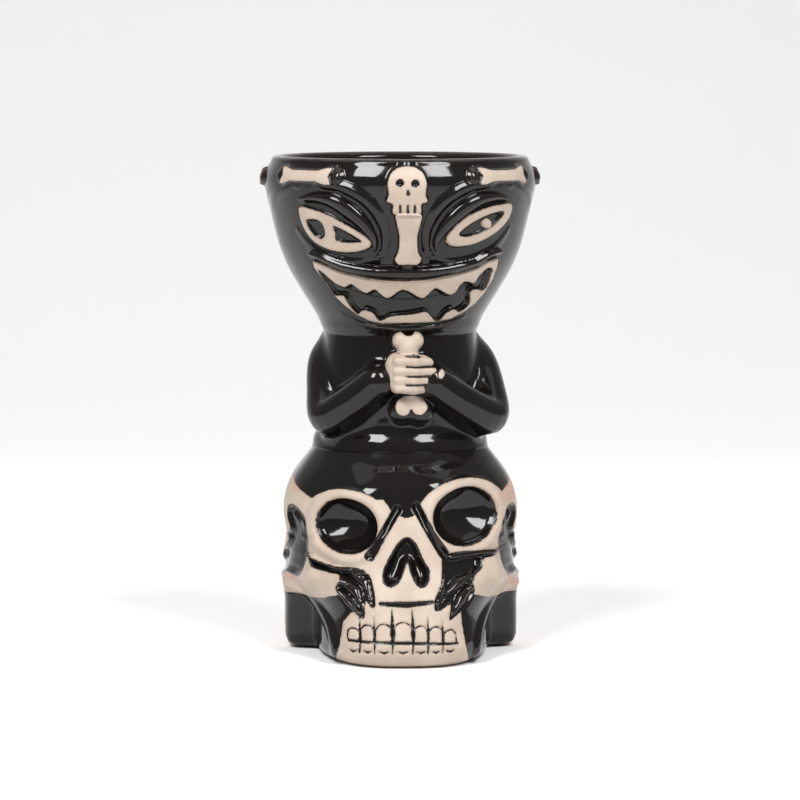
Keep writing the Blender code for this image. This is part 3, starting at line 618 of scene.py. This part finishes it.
# Soft bumps as (x, z, half width, half height, rise): the nose and the two brows.
BUMPS = [(0.0, 36.5, 8.0, 9.0, 1.1), (-12.5, 54.6, 8.5, 5.0, 1.6), (12.0, 57.0, 8.5, 5.0, 1.6)]

# On each side of the skull, heights against the distance forwards in a direction turned a little outwards.
FLANK_SHARE = (0.259, 0.966)
CAP_EDGE = [
    (-42.0, 66.6), (-30.0, 65.2), (-24.0, 64.2), (-14.0, 62.2), (-1.3, 61.0), (5.2, 60.4), (11.7, 58.8),
    (18.1, 56.8), (24.6, 54.6), (31.0, 52.0), (35.0, 51.0), (38.0, 52.4), (41.0, 54.6), (45.0, 55.4),
]
CAP_POINT = rounded([
    (-9.0, 58.0), (-5.4, 50.6), (-3.6, 48.6), (0.8, 47.0), (4.8, 49.4), (6.4, 51.6), (9.4, 59.0),
])
TEMPLE_HOLLOW = rounded([
    (22.1, 47.4), (24.0, 48.7), (27.4, 48.4), (30.5, 46.4), (32.6, 43.4), (32.6, 40.0), (33.6, 35.0),
    (34.2, 31.6), (34.6, 28.6), (33.8, 26.8), (32.0, 25.8), (28.0, 25.5), (21.4, 25.8), (14.9, 24.4),
    (9.0, 23.3), (2.6, 23.2), (-4.0, 24.5), (1.0, 26.4), (1.4, 28.8), (8.0, 29.5), (11.2, 30.4),
    (11.6, 32.4), (18.0, 34.6), (21.6, 37.0), (18.0, 38.0), (11.4, 38.7), (3.8, 40.7), (12.0, 40.0),
    (19.8, 39.9), (23.8, 40.6), (22.2, 44.0),
], 2)
JAW_TOP = [(14.0, 17.0), (18.0, 18.5), (25.0, 19.2), (36.0, 19.5), (42.0, 20.4), (47.0, 22.0), (52.0, 24.0)]
JAW_BACK = [(0.0, 7.0), (4.5, 8.2), (8.4, 8.4), (11.6, 7.8), (14.2, 6.2), (17.2, 3.8), (20.0, 0.4)]
TEMPLE_BUMP = [(26.4, 45.6, 1.6), (30.2, 42.6, 2.0), (29.6, 39.0, 1.2)]
CHEEKBONE = [(18.0, 21.8, 2.0), (33.0, 22.6, 3.2), (38.6, 26.6, 3.4), (38.0, 32.0, 2.6), (36.0, 37.0, 1.6)]
# Half width of the bare muzzle at each height, on the right and on the left.
MUZZLE = [
    (0, 22.6, 20.6), (8, 21.4, 18.8), (14, 20.4, 17.8), (17, 18.2, 17.6), (20, 14.6, 17.0), (24, 13.6, 16.6),
]
KILN_SPECKS = [
    ((10.4, 11.8, 0.25), (12.2, 11.0, 0.5)), ((5.4, 5.6, 0.4), (7.6, 6.6, 0.5), (8.0, 5.4, 0.3)),
    ((9.6, 7.6, 0.3), (11.2, 4.8, 0.5)), ((-2.6, 4.2, 0.4), (0.2, 4.0, 0.2)),
]
TEETH_EDGES = [-19.4, -15.2, -10.6, -4.8, 1.8, 6.7, 11.5, 16.1]
TEETH_TOPS = [12.9, 14.2, 14.6, 15.2, 14.1, 13.7, 12.5]
BITE = [(-19.0, 8.8, 0.42), (0.0, 8.6, 0.6), (16.2, 7.9, 0.42)]
BITE_Z = 8.4
GUM_CUTS = [(17.0, 0.4), (16.4, 0.4), (19.0, 0.9), (19.0, 0.8), (16.2, 0.45), (15.2, 0.4)]  # top, half width
CUT_HALF, TOOTH_GAP = 0.26, 0.25
TEETH_SIDE, TEETH_TOP = 21.0, 22.0
FOLD_HEIGHT, SOCKET_DEPTH, SOCKET_RIM_RISE = 1.9, 5.6, 1.2


def skull_base_radius(angle, z):
    width, back, corner_depth, corner_power, *muzzle = smooth_rows(z, SKULL_PROFILE)
    behind = squircle(width, back, 2.0, angle)
    corners = squircle(width, corner_depth, corner_power, angle)
    face = squircle(*muzzle, angle)
    ahead = smooth_max(corners, face, 0.01 + 5.5 * ease(0.0, 0.4, np.cos(angle)))
    return np.where(np.cos(angle) > 0, ahead, behind)


def tooth_lines(x, z):
    """Distance to the engraved lines of the skull's teeth."""
    lines = [stroke(x, z, *BITE)]
    for low, high, top in zip(TEETH_EDGES, TEETH_EDGES[1:], TEETH_TOPS):
        middle, half = (low + high) / 2, (high - low) / 2
        arch = np.abs(dot(x, z, middle, top - half, half - TOOTH_GAP)) - CUT_HALF
        sides = np.abs(np.abs(x - middle) - half + TOOTH_GAP) - CUT_HALF + NOWHERE * (z < BITE_Z)
        lines.append(np.where(z > top - half, arch, sides))
        tip = (middle - half * 0.55, 5.9, 0.25), (middle, 5.4, 0.4), (middle + half * 0.5, 5.9, 0.25)
        lines.append(stroke(x, z, *tip))
    for edge, (top, width) in zip(TEETH_EDGES[1:-1], GUM_CUTS):
        lines.append(stroke(x, z, (edge, BITE_Z, 0.35), (edge, 11.4, width), (edge - 0.2, top, 0.15)))
        lines.append(stroke(x, z, (edge, BITE_Z, 0.35), (edge - 0.2, 5.3, 0.3)))
    return least(lines)


def read_off(table, at):
    """The second column of a table at a place in its first, in straight steps."""
    places, values = np.transpose(table)
    return np.interp(at, places, values)


def skull_surface(angle, z):
    """Radius of the skull's outside, and how far each point lies inside bare clay."""
    base = skull_base_radius(angle, z)
    ahead = np.cos(angle) > 0
    side, forward = base * np.abs(np.sin(angle)), base * np.cos(angle)
    x = across_front(angle, base)
    flank = FLANK_SHARE[0] * side + FLANK_SHARE[1] * forward
    height = np.zeros_like(base)
    for shape in SOCKETS:
        hole = oval(x, z, *shape)
        depth = np.clip(-hole / min(shape[2:]), 0, 1)
        height += raised(hole, "socket") - SOCKET_DEPTH * depth * (2 - depth)
        height += SOCKET_RIM_RISE * ease(-4.0, -1.6, -hole) * ease(-0.6, 1.6, hole + 0.4)
    socket = least(oval(x, z, *shape) for shape in SOCKETS)
    ring = least(oval(x, z, *shape) for shape in EYE_RINGS)
    for cx, cz, wide, high, rise in BUMPS:
        height += rise * np.exp(-(((x - cx) / wide) ** 2) - ((z - cz) / high) ** 2)
    nose = outline(x, z, NOSE_HOLE)
    height += raised(nose, "nose_hole")
    bridge = least(stroke(x, z, *line) for line in BRIDGE_LINES)
    height += raised(bridge, "bridge")
    cheek = np.minimum(outline(x, z, RIGHT_CHEEK), outline(x, z, LEFT_CHEEK))
    height += raised(cheek, "cheek_hollow")
    for fold in FOLDS:
        height += FOLD_HEIGHT * dome(stroke(x, z, *fold), max(radius for *_, radius in fold))
    height += raised(stroke(np.where(ahead, side, BEYOND), z, *JAW_RIDGE), "jaw_ridge")
    gum_line = stroke(x, z, *UPPER_GUM_LINE)
    height += raised(gum_line, "gum_line")
    teeth = np.where(ahead & (side < TEETH_SIDE) & (z < TEETH_TOP), tooth_lines(x, z), NOWHERE)
    height += raised(teeth, "teeth")
    temple = outline(flank, z, TEMPLE_HOLLOW)
    height += raised(temple, "temple_hollow")
    height += swollen(stroke(flank, z, *TEMPLE_BUMP), "temple_bump")
    height += raised(stroke(flank, z, *CHEEKBONE), "cheekbone")

    cap = np.minimum(z - read_off(CAP_EDGE, flank), ring)
    cap = np.maximum(cap, np.minimum(-outline(x, z, CAP_POINT), ring))
    level, right, left = np.transpose(MUZZLE)
    muzzle = np.abs(x) - np.where(x < 0, np.interp(z, level, right), np.interp(z, level, left))
    jaw = np.minimum(read_off(JAW_TOP, flank) - z, forward - read_off(JAW_BACK, z))
    jaw = np.minimum(jaw, np.where(ahead, muzzle, -NOWHERE))
    right_flank = np.where(np.sin(angle) < 0, flank, BEYOND)
    specks = least(stroke(right_flank, z, *speck) for speck in KILN_SPECKS)
    black = least([socket, nose, bridge, cheek, gum_line, teeth + 0.05, temple, -cap, -jaw, specks])
    return base + height, black


# ---- meshes

FRONT_SHARE = 2.6  # how much closer together the angles are in front
CUP_COLUMNS, CUP_ROWS = 470, 146
CUP_FOOT = [102.6, 103.4]
CUP_START = 104.0
TUCK_DEPTH, TUCK_SPAN = 1.6, (103.2, 104.6)  # the cup's foot is tucked in behind the torso's top
CUP_INNER_ROWS, TORSO_INNER_ROWS = 26, 12
LIP_DROP = 2.0
LIP_TURNS = np.arange(1, 10) * math.pi / 10
LIP_WEAR = 0.75
TORSO_COLUMNS, TORSO_ROWS = 440, 112
TORSO_SPAN = (64.0, 107.0)
TORSO_WALL = WALL + 0.6
SKULL_COLUMNS, SKULL_ROWS = 470, 160
SKULL_FOOT = [0.0, 0.25, 0.6, 1.0, 1.5]
SKULL_SPAN = (2.0, 66.8)
FOOT_ROUNDING, FOOT_HEIGHT = 1.6, 2.0
UNDERSIDE_SHARES = (0.04, 0.35, 0.7, 0.94)
FLOOR_SHARES = (0.05, 0.05, 1.0)
CROWN_SPAN = (58.0, 63.0)
BLUSH_SHARE, LOW_BLUSH_SHARE = 0.5, 0.9
CHAMBER_LEVELS = [66.8, 62.0, 54.0, 44.0, 32.0, 20.0, 10.0, 6.5, 5.6]
# The chamber inside the skull, as (height, half width, depth ahead of the axis, depth behind it).
CHAMBER = [
    (5.6, 20.0, 27.0, 12.0), (10.0, 27.4, 34.0, 17.4), (20.0, 29.6, 35.5, 21.4), (32.0, 31.0, 30.2, 23.5),
    (44.0, 30.4, 23.6, 24.0), (54.0, 28.0, 21.6, 22.6), (66.8, 21.4, 19.8, 19.8),
]
WALL_WEAR, SKULL_WEAR, RELIEF_WEAR = 0.35, 0.12, 0.3
RELIEF_RADIUS = 42.0  # where a relief's spacing is measured
RELIEF_THICKNESS, RELIEF_LIFT, RELIEF_SINK = 1.6, 0.05, 1.2
RELIEF_MARGIN = 0.75
FEWEST_STEPS = 8
WEAR_ROUNDS, WEAR_SPAN = 5, (0.05, 0.30)
FACE_SPACING, BONE_SPACING, ARM_SPACING, HAND_SPACING = 0.27, 0.3, 0.42, 0.25


def angle_row(count):
    """Angles right round the mug, set closer together in front, where the carving is."""
    fine = np.linspace(-math.pi, math.pi, 4001)
    weight = 1 + (FRONT_SHARE - 1) * ease(-0.25, 0.25, np.cos(fine))
    total = np.concatenate([[0], np.cumsum((weight[1:] + weight[:-1]) / 2)])
    return np.interp(np.arange(count) / count * total[-1], total, fine)


def worn(radius):
    """How much each point of a wrapped field stands proud of its neighbourhood, where glaze runs thin."""
    mean = radius
    for _ in range(WEAR_ROUNDS):
        mean = softened(mean)
    return ease(*WEAR_SPAN, radius - mean)


def with_rows(field, before, after, value):
    """A grid of values with rows of one value added before and after it."""
    return np.pad(field, ((before, after), (0, 0)), constant_values=value)


def points_at(angle, radius, z):
    return np.stack([radius * np.sin(angle), -radius * np.cos(angle), z], -1)


def new_piece(name, points, faces, attributes, finish, nodes, caps=()):
    """A smooth-shaded mesh piece, given in millimetres, that stands for one or more nodes of the model."""
    material, slot_name = finish
    mesh = bpy.data.meshes.new(name)
    mesh.vertices.add(len(points))
    mesh.vertices.foreach_set("co", (points * MM).astype(np.float32).ravel())
    sizes = np.array([faces.shape[1]] * len(faces) + [len(cap) for cap in caps])
    corners = np.concatenate([faces.ravel(), *caps])
    mesh.loops.add(len(corners))
    mesh.loops.foreach_set("vertex_index", corners.astype(np.int32))
    mesh.polygons.add(len(sizes))
    mesh.polygons.foreach_set("loop_start", (np.cumsum(sizes) - sizes).astype(np.int32))
    mesh.update(calc_edges=True)
    mesh.validate()
    for key, values in attributes.items():
        layer = mesh.attributes.new(key, "FLOAT", "POINT")
        layer.data.foreach_set("value", np.asarray(values, np.float32).ravel())
    mesh.shade_smooth()
    mesh.materials.append(material)
    piece = bpy.data.objects.new(name, mesh)
    bpy.context.scene.collection.objects.link(piece)
    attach(piece, "root")
    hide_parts(*nodes)


def wrapped_faces(rows, columns, closed):
    """Quads of a grid whose columns run round the mug. With closed, its last row joins its first."""
    row = np.arange(rows if closed else rows - 1)[:, None]
    column = np.arange(columns)[None]
    after, above = (column + 1) % columns, (row + 1) % rows
    low, high = row * columns, above * columns
    return np.stack([low + column, low + after, high + after, high + column], -1).reshape(-1, 4)


def make_cup(finish):
    angles = angle_row(CUP_COLUMNS)
    heights = np.concatenate([CUP_FOOT, np.linspace(CUP_START, RIM_Z - LIP_DROP, CUP_ROWS)])
    angle, z = np.meshgrid(angles, heights)
    radius, clay, _ = cup_surface(angle, z)
    radius = radius - TUCK_DEPTH * (1 - ease(*TUCK_SPAN, z))
    in_angle, turn = np.meshgrid(angles, LIP_TURNS)
    lip_radius = radius[-1] - WALL / 2 + WALL / 2 * np.cos(turn)
    lip = points_at(in_angle, lip_radius, RIM_Z - LIP_DROP + LIP_DROP * np.sin(turn))
    in_angle, in_height = np.meshgrid(angles, np.linspace(RIM_Z - LIP_DROP, NECK_Z, CUP_INNER_ROWS))
    inner = points_at(in_angle, cup_base(in_angle, in_height) - WALL, in_height)
    points = np.concatenate([points_at(angle, radius, z), lip, inner])
    clay = with_rows(clay, 0, len(lip) + len(inner), INSIDE_GLAZE)
    thin = np.concatenate([WALL_WEAR * worn(radius), LIP_WEAR * np.sin(turn) ** 4, np.zeros(in_angle.shape)])
    faces = wrapped_faces(len(points), CUP_COLUMNS, True)
    new_piece("cup_wall", points.reshape(-1, 3), faces, {"clay": clay, "thin": thin}, finish, ["head_cup"])


def make_torso(finish):
    low, high = TORSO_SPAN
    angle, z = np.meshgrid(angle_row(TORSO_COLUMNS), np.linspace(low, high, TORSO_ROWS))
    radius, clay, _ = torso_surface(angle, z)
    in_angle, in_height = np.meshgrid(angle[0], np.linspace(high, low, TORSO_INNER_ROWS))
    bore = squircle(*smooth_rows(in_height, TORSO_PROFILE), 2.0, in_angle) - TORSO_WALL
    points = np.concatenate([points_at(angle, radius, z), points_at(in_angle, bore, in_height)])
    clay = with_rows(clay, 0, len(bore), INSIDE_GLAZE)
    faces = wrapped_faces(len(points), TORSO_COLUMNS, True)
    attributes = {"clay": clay, "thin": np.zeros(clay.shape)}
    new_piece("torso_wall", points.reshape(-1, 3), faces, attributes, finish, ["torso"])


def make_skull(finish):
    angles = angle_row(SKULL_COLUMNS)
    angle, z = np.meshgrid(angles, np.concatenate([SKULL_FOOT, np.linspace(*SKULL_SPAN, SKULL_ROWS)]))
    radius, clay = skull_surface(angle, z)
    short = 1 - np.clip(z / FOOT_HEIGHT, 0, 1)
    radius = radius - FOOT_ROUNDING * (1 - np.sqrt(np.clip(1 - short**2, 0, 1)))
    thin = SKULL_WEAR * worn(radius) * (1 - ease(*CROWN_SPAN, z))
    under = [points_at(angles, radius[0] * share, np.zeros_like(angles)) for share in UNDERSIDE_SHARES]
    chamber = []
    for level in CHAMBER_LEVELS:
        width, ahead, behind = smooth_rows(level, CHAMBER)
        depth = np.where(np.cos(angles) > 0, ahead, behind)
        chamber.append(points_at(angles, squircle(width, depth, 2.0, angles), np.full_like(angles, level)))
    chamber.append(chamber[-1] * FLOOR_SHARES)
    points = np.concatenate([np.stack(under), points_at(angle, radius, z), np.stack(chamber)])
    before, after = len(under), len(chamber)
    attributes = {
        "clay": with_rows(with_rows(clay, 0, after, INSIDE_GLAZE), before, 0, BARE),
        "thin": with_rows(thin, before, after, 0.0),
        "blush": with_rows(blush_of(angle, z), before, after, 0.0),
    }
    faces = wrapped_faces(len(points), SKULL_COLUMNS, False)
    ring = np.arange(SKULL_COLUMNS)
    caps = [ring[::-1], ring + (len(points) - 1) * SKULL_COLUMNS]
    new_piece("skull_wall", points.reshape(-1, 3), faces, attributes, finish, ["skull_base"], caps)


def blush_of(angle, z):
    """Where pink slip is rubbed into the clay: the back and sides of the skull, most of all low down."""
    behind = 1 - ease(0.30, 0.72, np.cos(angle))
    low = (1 - ease(1.5, 7.0, z)) * ease(-0.5, 0.1, np.cos(angle))
    return behind * np.clip(BLUSH_SHARE + LOW_BLUSH_SHARE * low, 0, 1)


def make_relief(name, node, finish, surface, region, spans, spacing, wear=RELIEF_WEAR):
    """A closed piece of its own: the section's surface inside a region, sunk into the wall round it."""
    (low_angle, high_angle), (low_z, high_z) = spans
    columns = max(FEWEST_STEPS, int(math.radians(high_angle - low_angle) * RELIEF_RADIUS / spacing))
    rows = max(FEWEST_STEPS, int((high_z - low_z) / spacing))
    across = np.radians(np.linspace(low_angle, high_angle, columns))
    angle, z = np.meshgrid(across, np.linspace(low_z, high_z, rows))
    radius, clay, found = surface(angle, z)
    outside = region(found)
    top = radius + RELIEF_LIFT * ledge(outside, 0.3) - RELIEF_SINK * ease(0.0, 0.9, outside)
    index = np.arange(rows * columns).reshape(rows, columns)
    quads = np.stack([index[:-1, :-1], index[:-1, 1:], index[1:, 1:], index[1:, :-1]], -1).reshape(-1, 4)
    near = (outside < RELIEF_MARGIN).ravel()
    used, quads = np.unique(quads[near[quads].any(1)], return_inverse=True)
    quads = quads.reshape(-1, 4)
    front = points_at(angle, top, z).reshape(-1, 3)[used]
    back = points_at(angle, top - RELIEF_THICKNESS, z).reshape(-1, 3)[used]
    edges = np.concatenate([quads[:, [0, 1]], quads[:, [1, 2]], quads[:, [2, 3]], quads[:, [3, 0]]])
    _, first, uses = np.unique(np.sort(edges, 1), axis=0, return_index=True, return_counts=True)
    border = edges[first[uses == 1]]
    count = len(used)
    walls = np.stack([border[:, 1], border[:, 0], border[:, 0] + count, border[:, 1] + count], -1)
    faces = np.concatenate([quads, quads[:, ::-1] + count, walls])
    thin = wear * worn(radius)
    attributes = {"clay": np.tile(clay.ravel()[used], 2), "thin": np.tile(thin.ravel()[used], 2)}
    new_piece(name, np.concatenate([front, back]), faces, attributes, finish, [node])


def on_side(f, sign, distance):
    """A distance on one side of the face, and nowhere on the other."""
    return np.where(f["x"] * sign > 0, distance, NOWHERE)


def eyelid(f, eye):
    return np.maximum(f["lid"] - 0.4, 1.0 - f[eye])


def gums(f, upper):
    """Distance to the upper or the lower half of the mouth, which meet in a shallow curve."""
    above = f["z"] > MOUTH_MIDDLE_Z + MOUTH_CURVE * f["x"] ** 2
    return np.where(above == upper, f["lips"] - 0.6, NOWHERE)


def make_reliefs(clay, black):
    face = [
        ("right_eye", lambda f: on_side(f, -1, f["right_eye"] - 1.1), (-62, -10), (130, 149), clay),
        ("left_eye", lambda f: on_side(f, 1, f["left_eye"] - 1.1), (10, 64), (131, 150), clay),
        ("right_eyelid", lambda f: on_side(f, -1, eyelid(f, "right_eye")), (-60, -8), (132, 154), black),
        ("left_eyelid", lambda f: on_side(f, 1, eyelid(f, "left_eye")), (8, 60), (132, 154), black),
        ("right_brow", lambda f: on_side(f, -1, f["brow"] - 0.3), (-62, -4), (131, 158), black),
        ("left_brow", lambda f: on_side(f, 1, f["brow"] - 0.3), (4, 62), (131, 158), black),
        ("forehead_skull", lambda f: f["forehead"] - 1.4, (-11, 11), (142.5, RIM_Z - 0.4), clay),
        ("nose_bone", lambda f: f["nose"] - 1.2, (-9, 11), (126.5, 147.5), clay),
        ("upper_lip", lambda f: f["upper_lip"] - 0.2, (-56, 58), (122, 136), black),
        ("upper_teeth", lambda f: gums(f, True), (-58, 60), (115, 134), clay),
        ("lower_teeth", lambda f: gums(f, False), (-62, 64), (106, 130), clay),
    ]
    for node, region, turn, rise, finish in face:
        make_relief(node + "_relief", node, finish, cup_surface, region, (turn, rise), FACE_SPACING)
    for where, centre, half, level in RIM_BONES:
        for word, sign in SIDES:
            middle, reach = sign * centre, half + 3
            spans = (middle - reach, middle + reach), (level - 5, level + 5)
            make_relief(
                f"rim_bone_{where}_{word}_relief", f"rim_bone_{where}_{word}", clay, cup_surface,
                lambda f, key=f"{where}_{word}": f[key] - 1.3, spans, BONE_SPACING)
    limbs = [
        ("right_arm", (-150, -8), (68, 106), black, ARM_SPACING),
        ("left_arm", (8, 150), (68, 106), black, ARM_SPACING),
        ("gripping_hand", (-22, 32), (84, 103), clay, HAND_SPACING),
        ("held_bone", (-22, 26), (74, 109), clay, HAND_SPACING),
    ]
    for node, turn, rise, finish, spacing in limbs:
        own = itemgetter(node)
        make_relief(node + "_relief", node, finish, torso_surface, own, (turn, rise), spacing, wear=0.0)


# ---- materials

CLAY_PALE = (0.454, 0.375, 0.308)
CLAY_WARM = (0.407, 0.328, 0.265)
CLAY_GRAIN = (0.348, 0.273, 0.217)
CLAY_SPECK = (0.198, 0.138, 0.099)
CLAY_STAIN = (0.237, 0.170, 0.122)
CLAY_BLUSH = (0.458, 0.194, 0.150)
GLAZE_BLACK = (0.0052, 0.0042, 0.0036)
GLAZE_THIN = (0.120, 0.080, 0.056)
GLAZE_IOR = 1.42


def glazed_clay(name, blush=False):
    """Tan clay wiped bare, and black glaze over the rest: the glaze line follows the mesh's clay distance."""
    material = bpy.data.materials.new(name)
    material.use_nodes = True
    nodes, links = material.node_tree.nodes, material.node_tree.links
    shader = nodes["Principled BSDF"]
    shader.inputs["Metallic"].default_value = 0.0
    shader.inputs["IOR"].default_value = GLAZE_IOR
    place = nodes.new("ShaderNodeTexCoord").outputs["Object"]

    def noise(scale, detail=3.0, rough=0.55, distortion=0.0, stretch=None):
        texture = nodes.new("ShaderNodeTexNoise")
        texture.inputs["Scale"].default_value = scale
        texture.inputs["Detail"].default_value = detail
        texture.inputs["Roughness"].default_value = rough
        texture.inputs["Distortion"].default_value = distortion
        links.new(stretched(place, stretch) if stretch else place, texture.inputs["Vector"])
        return texture.outputs["Fac"]

    def stretched(vector, factors):
        node = nodes.new("ShaderNodeVectorMath")
        node.operation = "MULTIPLY"
        links.new(vector, node.inputs[0])
        node.inputs[1].default_value = factors
        return node.outputs["Vector"]

    def math_node(operation, *values):
        node = nodes.new("ShaderNodeMath")
        node.operation = operation
        for socket, value in zip(node.inputs, values):
            if isinstance(value, (int, float)):
                socket.default_value = value
            else:
                links.new(value, socket)
        return node.outputs[0]

    def span(value, low, high, to_low=0.0, to_high=1.0):
        node = nodes.new("ShaderNodeMapRange")
        node.interpolation_type = "SMOOTHSTEP"
        links.new(value, node.inputs["Value"])
        for key, number in (("From Min", low), ("From Max", high), ("To Min", to_low), ("To Max", to_high)):
            node.inputs[key].default_value = number
        return node.outputs["Result"]

    def blend(share, first, second):
        node = nodes.new("ShaderNodeMix")
        node.data_type = "RGBA"
        for socket, value in ((node.inputs[0], share), (node.inputs[6], first), (node.inputs[7], second)):
            if isinstance(value, tuple):
                socket.default_value = (*value, 1)
            elif isinstance(value, (int, float)):
                socket.default_value = value
            else:
                links.new(value, socket)
        return node.outputs[2]

    def attribute(key):
        node = nodes.new("ShaderNodeAttribute")
        node.attribute_name = key
        return node.outputs["Fac"]

    clay, thin = attribute("clay"), attribute("thin")
    ragged = math_node("MULTIPLY", math_node("SUBTRACT", noise(900, 4.0, 0.65), 0.5), 0.75)
    edge = math_node("ADD", clay, ragged)
    bare = span(edge, -0.06, 0.10)

    fine, broad = noise(2600, 3.0, 0.7), noise(130, 3.0, 0.5)
    tan = blend(span(broad, 0.35, 0.68), CLAY_WARM, CLAY_PALE)
    tan = blend(math_node("MULTIPLY", span(fine, 0.42, 0.75), 0.28), tan, CLAY_GRAIN)
    tan = blend(math_node("MULTIPLY", span(noise(1500, 1.0, 0.4), 0.72, 0.78), 0.45), tan, CLAY_SPECK)
    stain = math_node("MULTIPLY", span(edge, 0.55, 0.02), 0.42)
    tan = blend(stain, tan, CLAY_STAIN)
    if blush:
        streak = span(noise(38, 3.0, 0.5, 0.7, (1.0, 1.0, 2.8)), 0.52, 0.60)
        rubbed = math_node("MULTIPLY", math_node("MULTIPLY", attribute("blush"), streak), 0.85)
        tan = blend(rubbed, tan, CLAY_BLUSH)
    worn_through = math_node("MULTIPLY", thin, span(noise(420, 3.0), 0.30, 0.70, 0.15, 0.8))
    glaze = blend(worn_through, GLAZE_BLACK, GLAZE_THIN)
    links.new(blend(bare, glaze, tan), shader.inputs["Base Color"])

    gloss = span(noise(60, 2.0), 0.3, 0.7, 0.055, 0.12)
    matt = span(noise(700, 3.0), 0.3, 0.7, 0.40, 0.58)
    rough = nodes.new("ShaderNodeMix")
    links.new(bare, rough.inputs[0])
    links.new(gloss, rough.inputs[2])
    links.new(matt, rough.inputs[3])
    links.new(rough.outputs[0], shader.inputs["Roughness"])

    wave = math_node("MULTIPLY", noise(170, 2.0, 0.4), 0.10)
    grain = math_node("MULTIPLY", math_node("MULTIPLY", noise(3200, 3.0, 0.6), bare), 0.05)
    step_down = math_node("MULTIPLY", span(edge, -0.35, 0.15), -0.10)
    relief = math_node("ADD", math_node("ADD", wave, grain), step_down)
    bump = nodes.new("ShaderNodeBump")
    bump.inputs["Strength"].default_value = 0.9
    bump.inputs["Distance"].default_value = MM
    links.new(relief, bump.inputs["Height"])
    links.new(bump.outputs["Normal"], shader.inputs["Normal"])
    return material

# ---- stage, lights and camera

# In metres.
FLOOR_FRONT, FLOOR_BACK, FLOOR_HALF_WIDTH = -1.8, 0.6, 2.6
SWEEP_RADIUS, SWEEP_STEPS, BACKDROP_TOP = 0.96, 12, 2.6
PAPER = (0.90, 0.90, 0.895, 1)
AIR_COLOUR, AIR_STRENGTH = (1.0, 0.99, 0.98, 1), 0.30
LIGHT_AIM = (0.0, 0.0, 0.09)
WINDOW_SIZE = (0.40, 0.62)
CAMERA_DISTANCE, CAMERA_HEIGHT, CAMERA_TURN = 1.28, 0.202, -2.5
CAMERA_LENS, CAMERA_SENSOR = 173.6, 36.0


def make_stage():
    """A pale floor that curves up into a backdrop far behind."""
    turns = [math.pi / 2 * k / SWEEP_STEPS for k in range(1, SWEEP_STEPS + 1)]
    profile = [(FLOOR_FRONT, 0.0), (FLOOR_BACK, 0.0)]
    for turn in turns:
        profile.append((FLOOR_BACK + SWEEP_RADIUS * math.sin(turn), SWEEP_RADIUS * (1 - math.cos(turn))))
    profile.append((FLOOR_BACK + SWEEP_RADIUS, BACKDROP_TOP))
    points = [(x, y, z) for y, z in profile for x in (-FLOOR_HALF_WIDTH, FLOOR_HALF_WIDTH)]
    faces = [(2 * i, 2 * i + 1, 2 * i + 3, 2 * i + 2) for i in range(len(profile) - 1)]
    mesh = bpy.data.meshes.new("studio_floor")
    mesh.from_pydata(points, [], faces)
    mesh.shade_smooth()
    material = bpy.data.materials.new("studio_paper")
    material.use_nodes = True
    shader = material.node_tree.nodes["Principled BSDF"]
    shader.inputs["Base Color"].default_value = PAPER
    shader.inputs["Roughness"].default_value = 0.85
    mesh.materials.append(material)
    floor = bpy.data.objects.new("studio_floor", mesh)
    bpy.context.scene.collection.objects.link(floor)


def softbox(name, place, size, power):
    light = bpy.data.lights.new(name, "AREA")
    light.shape = "RECTANGLE"
    light.size, light.size_y = size
    light.energy = power
    lamp = bpy.data.objects.new(name, light)
    lamp.location = place
    lamp.rotation_euler = (Vector(LIGHT_AIM) - Vector(place)).to_track_quat("-Z", "Y").to_euler()
    bpy.context.scene.collection.objects.link(lamp)


def make_lights():
    """Two windows in front, high to either side, a broad sheet overhead and bright, even studio air."""
    softbox("window_left", (-0.52, -0.70, 1.08), WINDOW_SIZE, 15.5)
    softbox("window_right", (0.52, -0.70, 1.08), WINDOW_SIZE, 14.5)
    softbox("overhead", (0.0, 0.35, 1.5), (1.7, 1.0), 3.5)
    world = bpy.data.worlds.new("studio_air")
    world.use_nodes = True
    background = world.node_tree.nodes["Background"]
    background.inputs["Color"].default_value = AIR_COLOUR
    background.inputs["Strength"].default_value = AIR_STRENGTH
    bpy.context.scene.world = world


def make_camera():
    """A long lens a little above the rim, a touch towards the figure's right."""
    turn = math.radians(CAMERA_TURN)
    camera = bpy.data.cameras.new("camera")
    camera.lens = CAMERA_LENS
    camera.sensor_width = CAMERA_SENSOR
    eye = bpy.data.objects.new("camera", camera)
    eye.location = (CAMERA_DISTANCE * math.sin(turn), -CAMERA_DISTANCE * math.cos(turn), CAMERA_HEIGHT)
    aim = Vector((0.0, 0.0, 0.5 * RIM_Z * MM)) - eye.location
    eye.rotation_euler = aim.to_track_quat("-Z", "Y").to_euler()
    bpy.context.scene.collection.objects.link(eye)
    bpy.context.scene.camera = eye


def main():
    black = glazed_clay("black_glaze_surface"), "black_glaze"
    clay = glazed_clay("bare_clay_surface"), "bare_clay"
    skull = glazed_clay("brushed_skull_surface", blush=True), "brushed_skull"
    make_cup(black)
    make_torso(black)
    make_skull(skull)
    make_reliefs(clay, black)
    make_stage()
    make_lights()
    make_camera()
    bpy.context.scene.view_settings.view_transform = "Standard"


main()
